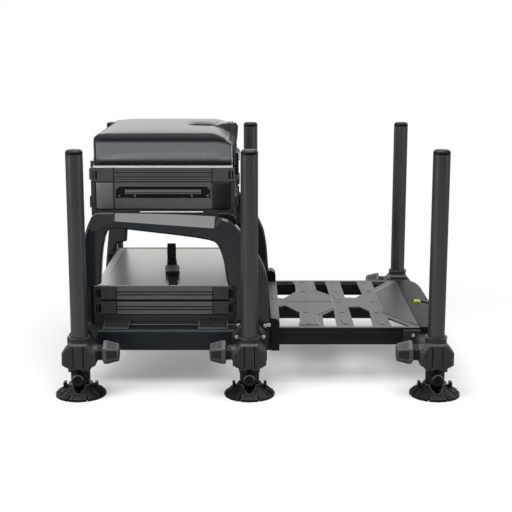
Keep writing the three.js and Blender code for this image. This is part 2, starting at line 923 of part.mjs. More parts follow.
function lowerCase() {
  const half = boxLength / 2;
  const gaps = [
    [-half, rearBeamX - boxMiddleX - fitGap],
    [rearBeamX + rearBeamWidth - boxMiddleX + fitGap, frontBeamX - boxMiddleX - fitGap],
    [frontBeamX + frontBeamWidth - boxMiddleX + fitGap, half],
  ];
  const skirts = gaps.flatMap((limits) => [-1, 1].map((side) => block(
    limits,
    [side * boxSideY, side * (boxSideY - skirtDepth)],
    [skirtBottom, floorBottom + weldOver],
  )));
  const shelf = block(
    [-wallInnerX - weldOver, wallInnerX + weldOver],
    [-boxSideY + shelfInset, boxSideY - weldOver],
    [shelfBottom, shelfTop],
  );
  const body = join(
    block([-half, half], [-boxSideY, boxSideY], [floorBottom, floorTop]),
    ...skirts,
    ...bayWalls(floorTop, lowerUnitTop, lowerPostThickness),
    shelf,
  );
  const slotDrop = (lowerBayHeight - postSlotHeight) / 2;
  return cut(body, ...cornerSlots(floorTop + slotDrop), ...cornerSlots(shelfTop + slotDrop));
}

function drawerCase() {
  const half = boxLength / 2;
  return join(
    block([-half, half], [-boxSideY, boxSideY], [caseBottom, caseFloorTop]),
    ...bayWalls(caseFloorTop, caseTop, upperPostThickness),
    ...endClips(wallOuterX, caseFloorTop + clipBottom, [[-1, -1], [-1, 1], [1, -1], [1, 1]]),
  );
}

function topTray() {
  const half = boxLength / 2;
  const grooves = [1, 2].map((n) => trayBottom + n * trayGroovePitch);
  const hollow = block(
    [-half + trayWall, half - trayWall],
    [-boxSideY + trayWall + grooveDepth, boxSideY - trayWall],
    [trayBottom + trayFloor, trayTop + cutOver],
  );
  const shell = cut(
    block([-half, half], [-boxSideY, boxSideY], [trayBottom, trayTop]),
    hollow,
    ...frontLines(-boxSideY, trayBottom, trayTop, grooves),
    ...trayCornerSlots(),
  );
  const clips = endClips(half, trayBottom + clipBottom, [[-1, -1], [-1, 1], [1, 1]]);
  return join(shell, ...clips, ...hingeLugs(), ...latchLugs());
}

// The tray's corner slots go only as deep as its wall allows
function trayCornerSlots() {
  const bottom = trayBottom + (trayHeight - postSlotHeight) / 2;
  const keep = block(
    [-boxLength, boxLength],
    [-boxSideY - 2 * cutOver, -boxSideY + trayWall / 2],
    [trayBottom, trayTop],
  );
  return cornerSlots(bottom).map((slot) => slot.intersect(keep));
}

// Two lugs and a pin for each hinge barrel, on the tray's rear wall
function hingeLugs() {
  const x = hingeX - boxMiddleX;
  return [-1, 1].flatMap((side) => {
    const centre = side * hingeOffset;
    const inner = hingeBarrelLength / 2 + runningGap;
    const lugs = [-1, 1].map((end) => join(
      block(
        [x - hingeRadius, -boxLength / 2 + weldOver],
        [centre + end * inner, centre + end * (inner + hingeLugLength)],
        [trayTop - hingeLugHeight, trayTop],
      ),
      block(
        [x - hingeRadius, x + hingeRadius],
        [centre + end * inner, centre + end * (inner + hingeLugLength)],
        [trayTop - weldOver, hingeZ + hingeRadius],
      ),
    ));
    const reach = inner + hingeLugLength - weldOver;
    const pin = rodY(hingePinRadius, centre - reach, centre + reach, x, hingeZ, pinSides);
    return [join(...lugs, pin)];
  });
}

// Two lugs and a pin for the seat latch, on the tray's front wall
function latchLugs() {
  const x = latchX - boxMiddleX;
  const inner = latchWidth / 2 + runningGap;
  const lugs = [-1, 1].map((end) => block(
    [boxLength / 2 - weldOver, x + latchLugReach],
    [-latchOffset + end * inner, -latchOffset + end * (inner + latchLugLength)],
    [latchZ - latchLugReach, latchZ + latchLugReach],
  ));
  const reach = inner + latchLugLength - weldOver;
  const pin = rodY(latchPinRadius, -latchOffset - reach, -latchOffset + reach, x, latchZ, pinSides);
  return [...lugs, pin];
}

// Drawers, with the front face at Y = 0 and the underside at Z = 0

function drawerBox(width, bayHeight) {
  const height = bayHeight - 2 * frontPlay;
  const bodyHalf = width / 2 - drawerBodyInset;
  const back = boxDepth - backWall - drawerBackGap;
  const top = height - drawerBodyDrop;
  const front = block([-width / 2, width / 2], [0, frontThickness], [0, height]);
  const body = block([-bodyHalf, bodyHalf], [frontThickness - weldOver, back], [0, top]);
  const hollow = block(
    [-bodyHalf + drawerWall, bodyHalf - drawerWall],
    [frontThickness, back - drawerWall],
    [drawerWall, top + cutOver],
  );
  return cut(join(front, body), hollow);
}

function lowerDrawer() {
  const height = lowerBayHeight - 2 * frontPlay;
  const grooves = [height / 2 - grooveOffset - grooveHeight, height / 2 + grooveOffset];
  return cut(drawerBox(lowerDrawerWidth, lowerBayHeight), ...frontLines(0, 0, height, grooves));
}

function upperDrawer() {
  const height = upperBayHeight - 2 * frontPlay;
  const half = blockJoint - recessMargin;
  const recessTop = recessBottom + recessHeight;
  const recess = outline([
    [-half, recessBottom],
    [half, recessBottom],
    [half, recessTop - recessCorner],
    [half - recessCorner, recessTop],
    [-half + recessCorner, recessTop],
    [-half, recessTop - recessCorner],
  ]);
  return cut(
    drawerBox(upperDrawerWidth, upperBayHeight),
    ...frontLines(0, 0, height, []),
    prismY(recess, -cutOver, recessDepth),
  );
}

function drawerHandle() {
  const half = blockJoint - recessMargin - handleEndGap;
  const rise = [handleBottom, handleBottom + handleHeight];
  const bar = block([-half, half], [handleInset, handleInset + handleThickness], rise);
  const stands = [-1, 1].map((side) => block(
    [side * half, side * (half - handleStandWidth)],
    [handleInset, recessDepth - fitGap],
    rise,
  ));
  return join(bar, ...stands);
}

// Deck pieces

function deckPlate() {
  const reach = wallInnerX + deckOverlap;
  return block([-reach, reach], [-boxSideY, boxSideY], [deckBottom, deckTop]);
}

// Where the slanting strap's middle line is at a distance across the deck
function strapMiddle(y) {
  const share = (y + boxSideY) / boxDepth;
  return strapNearShift + share * (strapFarShift - strapNearShift);
}

function deckStrap() {
  const half = strapWidth / 2;
  const band = outline([
    [strapNearShift - half, -boxSideY],
    [strapNearShift + half, -boxSideY],
    [strapFarShift + half, boxSideY],
    [strapFarShift - half, boxSideY],
  ]);
  const middle = strapMiddle(strapTabOffset);
  const tab = block(
    [middle - half, middle + half],
    [strapTabOffset, strapTabOffset + strapThickness],
    [strapBottom, strapTop + strapTabHeight],
  );
  return join(prismZ(band, strapBottom, strapTop), tab);
}

function strapBuckle() {
  const half = buckleWidth / 2;
  const waist = buckleWaist / 2;
  const end = buckleLength / 2;
  const neck = buckleWaistLength / 2;
  const shape = outline([
    [-half, -end], [half, -end], [half, -neck], [waist, 0], [half, neck],
    [half, end], [-half, end], [-half, neck], [-waist, 0], [-half, -neck],
  ]);
  const turn = Math.atan2(strapNearShift - strapFarShift, boxDepth);
  const buckle = extruded(shape, buckleHeight, 0).rotateZ(turn);
  return toSolid(buckle.translate(strapMiddle(-buckleOffset), -buckleOffset, strapTop + fitGap));
}

// Seat pieces

function seatBase() {
  const barrels = [-1, 1].map((side) => {
    const centre = side * hingeOffset;
    const ends = [centre - hingeBarrelLength / 2, centre + hingeBarrelLength / 2];
    const web = block([hingeX, seatRearX + weldOver], ends, [seatPlateBottom, seatPlateTop]);
    const barrel = join(web, rodY(hingeRadius, ends[0], ends[1], hingeX, hingeZ));
    const bore = rodY(hingePinRadius + runningGap, ends[0] - cutOver, ends[1] + cutOver, hingeX, hingeZ);
    return cut(barrel, bore);
  });
  const plate = block([seatRearX, seatFrontX], [-seatSideY, seatSideY], [seatPlateBottom, seatPlateTop]);
  return join(plate, ...barrels);
}

// The catch lever, whose nose bears on the plate's front edge
function seatLatch() {
  const ends = [-latchOffset - latchWidth / 2, -latchOffset + latchWidth / 2];
  const half = latchThickness / 2;
  const lever = join(
    block([latchX - half, latchX + half], ends, [latchZ, latchZ + latchLength]),
    rodY(half, ends[0], ends[1], latchX, latchZ),
    block(
      [seatFrontX + fitGap, latchX],
      ends,
      [hingeZ - latchNoseHeight / 2, hingeZ + latchNoseHeight / 2],
    ),
  );
  return cut(lever, rodY(latchPinRadius + runningGap, ends[0] - cutOver, ends[1] + cutOver, latchX, latchZ));
}

// A bump that is 1 in the middle and fades to 0 at a distance of 1
function bump(distance) {
  const inside = Math.max(0, 1 - distance * distance);
  return inside * inside;
}

// How far a place is down the pommel's flank, which draws in towards the front
function pommelFlank(forward, v) {
  const [start, end] = [flankStartShares, flankEndShares].map(
    ([back, front]) => THREE.MathUtils.lerp(back, front, forward),
  );
  return THREE.MathUtils.smoothstep(Math.abs(v), start, end);
}

function cushion() {
  const rear = seatRearX + cushionRearReach;
  const front = seatFrontX + cushionFrontReach;
  const halfLength = (front - rear) / 2;
  const middle = (front + rear) / 2;
  const halfWidth = seatSideY - seatSideInset / 2;
  const shape = new THREE.BoxGeometry(2, 2, 1, cushionColumns, cushionRows, cushionLayers);
  const place = shape.attributes.position;
  for (let i = 0; i < place.count; i += 1) {
    const u = Math.sin((place.getX(i) * Math.PI) / 2);
    const v = Math.sin((place.getY(i) * Math.PI) / 2);
    const level = Math.round((place.getZ(i) + 0.5) * cushionLayers);
    const [tuck, edge, rise] = cushionLevelShares[level];
    const inset = tuck * cushionTuck + edge * cushionEdge;
    const [x, y] = roundedPlan(u, v, halfLength - inset, halfWidth - inset);
    const forward = Math.max(0, (u - thighStartShare) / (1 - thighStartShare));
    const flank = pommelFlank(forward, v);
    const thigh = thighDrop * forward * forward * flank;
    const dish = cushionScoopDepth
      * bump((x - halfLength + cushionScoopToFront) / (cushionScoopLength / 2))
      * bump(y / (cushionScoopWidth / 2));
    const crown = cushionCrown * (1 - u ** 4) * (1 - v ** 4);
    const top = level === cushionLayers ? crown - dish : 0;
    const pommel = pommelReach * rise * Math.max(0, u) ** 8 * (1 - flank);
    place.setXYZ(
      i,
      middle + x + pommel,
      y,
      cushionBottom + rise * (cushionSideHeight - thigh) + top,
    );
  }
  return toSolid(shape);
}

// Rounds a rectangle's corners by drawing its corner squares in to quarter circles
function roundedPlan(u, v, halfLength, halfWidth) {
  const [x, y] = [u * halfLength, v * halfWidth];
  const inX = Math.abs(x) - (halfLength - cushionCorner);
  const inY = Math.abs(y) - (halfWidth - cushionCorner);
  if (inX <= 0 || inY <= 0) {
    return [x, y];
  }
  const scale = Math.max(inX, inY) / Math.hypot(inX, inY);
  return [
    Math.sign(x) * (halfLength - cushionCorner + inX * scale),
    Math.sign(y) * (halfWidth - cushionCorner + inY * scale),
  ];
}

// Footplate pieces

function footplateRail(side) {
  const tube = cut(
    block([railRear, railFrontX], [railInnerY, railOuterY], [railBottom + railSkirt, railTop]),
    block(
      [railRear - cutOver, railFrontX + cutOver],
      [railInnerY + railWall, railOuterY - railWall],
      [railBottom + railSkirt + railWall, railTop - railWall],
    ),
  );
  const skirt = block(
    [railRear, railFrontX],
    [railOuterY - railWall, railOuterY],
    [railBottom, railBottom + railSkirt + railWall],
  );
  const lip = block(
    [railRear, railFrontX],
    [railOuterY - railLipWidth, railOuterY],
    [railTop - weldOver, railTop + railLipHeight],
  );
  return mirrored(join(tube, skirt, lip), 1, side);
}

// Shares of the panel's length and half width, as points on one side or the other
function panelPoints(shares, side) {
  return shares.map(([along, across]) => [panelRear + along * panelLength, side * across * panelSideY]);
}

function footplatePanel() {
  const sheet = block([panelRear, railFrontX], [-panelSideY, panelSideY], [panelBottom, panelTop]);
  const holes = panelHoleShares.flatMap((shares) => [-1, 1].map((side) => prismZ(
    outline(panelPoints(shares, side)),
    panelBottom - cutOver,
    panelTop + cutOver,
  )));
  const raised = [hubShares, nosePlateShares].map((shares) => prismZ(
    outline([...panelPoints(shares, 1), ...panelPoints(shares, -1).reverse()]),
    panelTop - weldOver,
    panelTop + hubRaise,
  ));
  const ribs = [-1, 1].map((side) => block(
    [panelRear, railFrontX],
    [side * ribOffset, side * (ribOffset + ribThickness)],
    [panelBottom - ribDrop, panelBottom + weldOver],
  ));
  return join(cut(sheet, ...holes), ...raised, ...ribs);
}

function footplateNose() {
  const top = panelTop + noseRaise;
  const flatEnd = noseRear + noseFlat;
  const profile = new THREE.Shape();
  profile.moveTo(noseRear, noseBottom);
  profile.lineTo(noseRear, panelTop);
  profile.lineTo(noseRear + noseRaise, top);
  profile.lineTo(flatEnd, top);
  profile.quadraticCurveTo(noseFront - noseLip, top - noseRaise, noseFront, top - noseDroop);
  profile.lineTo(noseFront, top - noseDroop - noseLip);
  profile.lineTo(noseFront - noseCorner, noseBottom);
  const plan = new THREE.Shape();
  plan.moveTo(noseRear, -railOuterY);
  plan.lineTo(noseFront - noseCorner, -railOuterY);
  plan.quadraticCurveTo(noseFront, -railOuterY, noseFront, -railOuterY + 2 * noseCorner);
  plan.lineTo(noseFront, -noseRecessHalf);
  plan.lineTo(noseFront - noseRecess, -noseSlotHalf);
  plan.lineTo(noseFront - noseRecess, noseSlotHalf);
  plan.lineTo(noseFront, noseRecessHalf);
  plan.lineTo(noseFront, railOuterY - 2 * noseCorner);
  plan.quadraticCurveTo(noseFront, railOuterY, noseFront - noseCorner, railOuterY);
  plan.lineTo(noseRear, railOuterY);
  const slot = block(
    [noseRear + noseSlotInset, noseFront + cutOver],
    [-noseSlotHalf, noseSlotHalf],
    [panelTop - noseSlotDepth, top + cutOver],
  );
  const fromAbove = prismZ(plan, noseBottom - cutOver, top + cutOver);
  return cut(prismY(profile, -railOuterY, railOuterY).intersect(fromAbove), slot);
}

function spiritLevel() {
  const rear = noseRear + noseSlotInset + levelInset;
  return rodX(levelRadius, rear, rear + levelLength, 0, panelTop - noseSlotDepth + fitGap + levelRadius);
}

// The whole seat box

const seatBox = new THREE.Group();
const rows = [{ name: 'near', side: -1 }, { name: 'far', side: 1 }];
const wallArm = legRowY - archOuterY - fitGap;
const columns = [
  { name: 'rear', x: rearLegX, knob: 1, boss: legBoss(ridgedArm(armHalfWidth), wallArm) },
  { name: 'mid', x: middleLegX, knob: -1, boss: legBoss(ridgedArm(middleArmHalfWidth), wallArm) },
  { name: 'front', x: frontLegX, knob: -1, boss: frontLegBoss() },
];

for (const row of rows) {
  for (const column of columns) {
    addLeg(seatBox, column, row);
  }
  addPiece(seatBox, `side_arch_${row.name}`, sideArch(row.side), 'gloss');
  addPiece(seatBox, `rail_socket_${row.name}`, railSocket(row.side), 'blackPlastic');
  addPiece(seatBox, `footplate_rail_${row.name}`, footplateRail(row.side), 'blackPlastic');
}
addPiece(seatBox, 'cross_beam_rear', crossBeam(rearBeamX, rearBeamWidth), 'extrusion');
addPiece(seatBox, 'cross_beam_front', crossBeam(frontBeamX, frontBeamWidth), 'extrusion');
addPiece(seatBox, 'footplate_panel', footplatePanel(), 'plate');
addPiece(seatBox, 'footplate_nose', footplateNose(), 'gloss');
addPiece(seatBox, 'spirit_level', spiritLevel(), 'level');

const box = new THREE.Group();
box.position.x = boxMiddleX;
addPiece(box, 'lower_case', lowerCase(), 'corner');
addPiece(box, 'drawer_case', drawerCase(), 'corner');
addPiece(box, 'top_tray', topTray(), 'extrusion');
addPiece(box, 'deck_plate', deckPlate(), 'deck');
addPiece(box, 'deck_strap', deckStrap(), 'webbing');
addPiece(box, 'strap_buckle', strapBuckle(), 'blackPlastic');
const drawers = [
  ['lower_drawer_bottom', lowerDrawer(), 'extrusion', floorTop],
  ['lower_drawer_top', lowerDrawer(), 'extrusion', shelfTop],
  ['upper_drawer', upperDrawer(), 'extrusion', caseFloorTop],
  ['drawer_handle', drawerHandle(), 'tube', caseFloorTop],
];
for (const [name, solid, finish, bayFloor] of drawers) {
  addPiece(box, name, solid, finish).position.set(0, -boxSideY, bayFloor + frontPlay);
}
seatBox.add(box);

addPiece(seatBox, 'seat_base', seatBase(), 'seatRim');
addPiece(seatBox, 'seat_latch', seatLatch(), 'blackPlastic');
addPiece(seatBox, 'seat_cushion', cushion(), 'cushion');

export default seatBox;
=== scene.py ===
"""Looks of a fishing seat box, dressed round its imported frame.

Sizes are metres in the frame's own axes: X runs to the angler's front, Y away from the
drawers' pulls and Z up, with the floor at zero.
"""

import logging
import math
from collections.abc import Iterable, Sequence
from dataclasses import dataclass
from enum import Enum

import bmesh
import bpy
from bpy.types import Material, Mesh, Node, NodeSocket, NodeTree, Object
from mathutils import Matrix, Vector


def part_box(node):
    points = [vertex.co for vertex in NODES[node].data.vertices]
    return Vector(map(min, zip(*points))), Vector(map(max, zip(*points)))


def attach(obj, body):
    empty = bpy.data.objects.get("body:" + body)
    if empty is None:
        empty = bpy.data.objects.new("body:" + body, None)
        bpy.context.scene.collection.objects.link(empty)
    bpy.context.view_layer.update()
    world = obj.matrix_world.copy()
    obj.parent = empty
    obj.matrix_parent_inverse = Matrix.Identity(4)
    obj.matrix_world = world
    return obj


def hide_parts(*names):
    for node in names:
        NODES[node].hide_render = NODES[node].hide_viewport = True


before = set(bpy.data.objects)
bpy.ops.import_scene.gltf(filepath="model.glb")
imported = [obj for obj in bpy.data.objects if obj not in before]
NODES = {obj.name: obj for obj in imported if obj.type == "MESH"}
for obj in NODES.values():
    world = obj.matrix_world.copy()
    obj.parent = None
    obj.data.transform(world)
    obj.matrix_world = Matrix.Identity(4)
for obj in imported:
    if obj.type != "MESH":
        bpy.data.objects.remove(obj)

log = logging.getLogger("seat_box")

Colour = tuple[float, float, float]
Point = tuple[float, float, float]
Pair = tuple[float, float]
Outline = tuple[Pair, ...]

CHASSIS = "chassis"
CREASE = math.radians(32)
UP = Vector((0, 0, 1))


class Side(Enum):
    """The two long sides of the box, by the sign of their Y."""

    NEAR = -1
    FAR = 1

    @property
    def key(self) -> str:
        """The side's word in names."""
        return self.name.lower()

    @property
    def outward(self) -> Vector:
        """The level direction away from the middle."""
        return Vector((0, self.value, 0))


class Column(Enum):
    """The three leg columns, by their X."""

    REAR = -0.3735
    MID = -0.0175
    FRONT = 0.3735


class Run(Enum):
    """Ways that brushing runs over a surface, as stretches of its pattern."""

    ALONG_X = (2.0, 700.0, 700.0)
    ALONG_Y = (700.0, 2.0, 700.0)
    ALONG_Z = (700.0, 700.0, 2.0)


def turns_of(count: int) -> list[float]:
    """Gives evenly spaced angles round a full turn."""
    return [2 * math.pi * k / count for k in range(count)]


def smooth(share: float) -> float:
    """Eases a share from 0 to 1 and holds it beyond."""
    held = min(1.0, max(0.0, share))
    return held * held * (3 - 2 * held)


def bump(distance: float) -> float:
    """Gives a bump that is 1 in the middle and fades to 0 at a distance of 1."""
    return max(0.0, 1 - distance * distance) ** 2


def oval(middle: Pair, half: Pair, count: int = 16) -> list[Pair]:
    """Gives the points round an oval, from its middle and its half length and half width."""
    return [(middle[0] + half[0] * math.cos(a), middle[1] + half[1] * math.sin(a)) for a in turns_of(count)]


class NodeSheet:
    """A node tree, with short calls for adding and joining its nodes."""

    def __init__(self, tree: NodeTree) -> None:
        """Keeps the tree that the calls write to."""
        self.tree = tree

    def put(self, socket: NodeSocket, value: object) -> None:
        """Joins an input to an output socket, or sets it to a plain value."""
        if isinstance(value, NodeSocket):
            self.tree.links.new(value, socket)
        else:
            socket.default_value = value

    def add(self, kind: str, inputs: Sequence[object] = (), **settings: object) -> Node:
        """Adds a node, sets its properties and feeds its first inputs."""
        node = self.tree.nodes.new(kind)
        for name, value in settings.items():
            setattr(node, name, value)
        for socket, value in zip(node.inputs, inputs):
            self.put(socket, value)
        return node

    def feed(self, node: Node, **inputs: object) -> Node:
        """Joins or sets inputs of a node by their names, with _ for a space."""
        for name, value in inputs.items():
            self.put(node.inputs[name.replace("_", " ")], value)
        return node

    def calc(self, operation: str, *terms: object, clamp: bool = False) -> NodeSocket:
        """Adds a Math node on sockets or numbers, with its result held between 0 and 1 if clamped."""
        return self.add("ShaderNodeMath", terms, operation=operation, use_clamp=clamp).outputs[0]

    def ease(self, value: object, low: float, high: float, start: float = 0, end: float = 1) -> NodeSocket:
        """Maps a value smoothly, from start at low to end at high."""
        limits = (value, low, high, start, end)
        return self.add("ShaderNodeMapRange", limits, interpolation_type="SMOOTHSTEP").outputs[0]

    def blend(self, share: object, first: object, second: object) -> NodeSocket:
        """Mixes two colours, with share as how much of the second one shows."""
        node = self.add("ShaderNodeMix", (share,), data_type="RGBA")
        for index, term in ((6, first), (7, second)):
            self.put(node.inputs[index], term if isinstance(term, NodeSocket) else (*term, 1.0))
        return node.outputs[2]

    def between(self, share: object, first: object, second: object) -> NodeSocket:
        """Mixes two values, with share as how much of the second one shows."""
        node = self.add("ShaderNodeMix", (share,), data_type="FLOAT")
        self.put(node.inputs[2], first)
        self.put(node.inputs[3], second)
        return node.outputs[0]

    def noise(self, scale: object, detail: float, where: object) -> NodeSocket:
        """Adds a noise texture of a scale per metre and a count of octaves, and gives its value."""
        node = self.add("ShaderNodeTexNoise")
        return self.feed(node, Vector=where, Scale=scale, Detail=detail).outputs["Fac"]

    def place(self) -> NodeSocket:
        """Gives the place on the object, in metres."""
        return self.add("ShaderNodeTexCoord").outputs["Object"]

    def part(self, vector: NodeSocket, axis: str) -> NodeSocket:
        """Gives a vector's X, Y or Z."""
        return self.add("ShaderNodeSeparateXYZ", (vector,)).outputs[axis]

    def direct(self) -> NodeSocket:
        """Masks the rays that come from the camera, also through clear pieces."""
        path = self.add("ShaderNodeLightPath")
        return self.calc("MAXIMUM", path.outputs["Is Camera Ray"], path.outputs["Is Transmission Ray"])


class Effects:
    """Surface effects that the finishes share, each a node group that is built once."""

    def __init__(self) -> None:
        """Starts with no group made."""
        self.made: dict[str, NodeTree] = {}

    def place(self, sheet: NodeSheet, name: str, **inputs: object) -> Node:
        """Puts one of the effects into a material, by the end of its draw method's name."""
        if name not in self.made:
            self.made[name] = getattr(self, f"draw_{name}")()
        return sheet.feed(sheet.add("ShaderNodeGroup", node_tree=self.made[name]), **inputs)

    @staticmethod
    def start(name: str, inputs: dict[str, float], outputs: Sequence[str]) -> tuple[NodeSheet, dict, Node]:
        """Starts a group with float sockets.

        Args:
            name: the group's name.
            inputs: its inputs and their usual values.
            outputs: its outputs.

        Returns:
            The group's nodes, its given values by name and its output node.
        """
        tree = bpy.data.node_groups.new(name, "ShaderNodeTree")
        for label, value in inputs.items():
            socket = tree.interface.new_socket(label, in_out="INPUT", socket_type="NodeSocketFloat")
            socket.default_value = value
        for label in outputs:
            tree.interface.new_socket(label, in_out="OUTPUT", socket_type="NodeSocketFloat")
        sheet = NodeSheet(tree)
        given = sheet.add("NodeGroupInput").outputs
        return sheet, {label: given[label] for label in inputs}, sheet.add("NodeGroupOutput")

    def draw_speckle(self) -> NodeTree:
        """Draws the fine grain of moulded plastic and powder coat."""
        sheet, given, result = self.start("speckle", {"Scale": 900.0, "Contrast": 1.0}, ("Shade", "Height"))
        raised = sheet.ease(sheet.noise(given["Scale"], 3.0, sheet.place()), 0.36, 0.64)
        shade = sheet.calc("MULTIPLY", sheet.calc("SUBTRACT", raised, 0.5), given["Contrast"])
        sheet.feed(result, Shade=sheet.calc("ADD", shade, 0.5, clamp=True), Height=raised)
        return sheet.tree

    def draw_mottle(self) -> NodeTree:
        """Draws the slow change of tone over a hand's breadth."""
        sheet, given, result = self.start("mottle", {"Scale": 11.0}, ("Shade",))
        where = sheet.place()
        broad = sheet.noise(given["Scale"], 2.0, where)
        close = sheet.noise(sheet.calc("MULTIPLY", given["Scale"], 6.5), 4.0, where)
        mixed = sheet.calc("ADD", sheet.calc("MULTIPLY", broad, 0.65), sheet.calc("MULTIPLY", close, 0.35))
        sheet.feed(result, Shade=sheet.ease(mixed, 0.2, 0.8))
        return sheet.tree

    def draw_edge_wear(self) -> NodeTree:
        """Draws the rubbed, lighter band that edges take on in use."""
        sheet, given, result = self.start("edge_wear", {"Amount": 0.4, "Patch Scale": 60.0}, ("Mask",))
        rounded = sheet.feed(sheet.add("ShaderNodeBevel", samples=4), Radius=0.0016).outputs[0]
        true = sheet.add("ShaderNodeNewGeometry").outputs["Normal"]
        likeness = sheet.add("ShaderNodeVectorMath", (rounded, true), operation="DOT_PRODUCT")
        edge = sheet.ease(likeness.outputs["Value"], 0.99, 0.9)
        patch = sheet.noise(given["Patch Scale"], 5.0, sheet.place())
        rubbed = sheet.calc("MULTIPLY", edge, sheet.ease(patch, 0.38, 0.62))
        sheet.feed(result, Mask=sheet.calc("MULTIPLY", rubbed, given["Amount"], clamp=True))
        return sheet.tree

    def draw_dust(self) -> NodeTree:
        """Draws the thin dust that settles on faces that look up."""
        sheet, given, result = self.start("dust", {"Amount": 0.1}, ("Mask",))
        normal = sheet.add("ShaderNodeNewGeometry").outputs["Normal"]
        upward = sheet.ease(sheet.part(normal, "Z"), 0.35, 0.95)
        patch = sheet.ease(sheet.noise(38.0, 6.0, sheet.place()), 0.3, 0.75)
        settled = sheet.calc("MULTIPLY", upward, patch)
        sheet.feed(result, Mask=sheet.calc("MULTIPLY", settled, given["Amount"], clamp=True))
        return sheet.tree

    def draw_end_blocks(self) -> NodeTree:
        """Masks the moulded blocks at both ends of a metal face, and the recess let into it."""
        inputs = {"Middle": 0.0, "Half Span": 0.1, "Face": 0.0}
        sheet, given, result = self.start("end_blocks", inputs, ("Mask", "Inside"))
        where = sheet.place()
        away = sheet.calc("ABSOLUTE", sheet.calc("SUBTRACT", sheet.part(where, "X"), given["Middle"]))
        outside = sheet.calc("GREATER_THAN", away, given["Half Span"])
        depth = sheet.calc("SUBTRACT", sheet.part(where, "Y"), given["Face"])
        behind, before = sheet.calc("GREATER_THAN", depth, 0.0013), sheet.calc("LESS_THAN", depth, 0.013)
        within = sheet.calc("MULTIPLY", behind, before)
        inside = sheet.calc("MULTIPLY", within, sheet.calc("SUBTRACT", 1.0, outside))
        sheet.feed(result, Mask=outside, Inside=inside)
        return sheet.tree

    def draw_underside(self) -> NodeTree:
        """Masks all that lies below a height."""
        sheet, given, result = self.start("underside", {"Height": 0.1}, ("Mask",))
        sheet.feed(result, Mask=sheet.calc("LESS_THAN", sheet.part(sheet.place(), "Z"), given["Height"]))
        return sheet.tree

    def draw_brushing(self) -> NodeTree:
        """Draws the fine lines of brushed or drawn metal."""
        inputs = {"X": 2.0, "Y": 700.0, "Z": 700.0}
        sheet, given, result = self.start("brushing", inputs, ("Streak", "Height"))
        stretch = sheet.add("ShaderNodeCombineXYZ", tuple(given.values())).outputs[0]
        scaled = sheet.add("ShaderNodeVectorMath", (sheet.place(), stretch), operation="MULTIPLY").outputs[0]
        fine = sheet.noise(1.0, 2.0, scaled)
        broad = sheet.noise(0.16, 2.0, scaled)
        streak = sheet.calc("ADD", sheet.calc("MULTIPLY", fine, 0.6), sheet.calc("MULTIPLY", broad, 0.4))
        sheet.feed(result, Streak=sheet.ease(streak, 0.34, 0.66), Height=fine)
        return sheet.tree


EFFECTS = Effects()


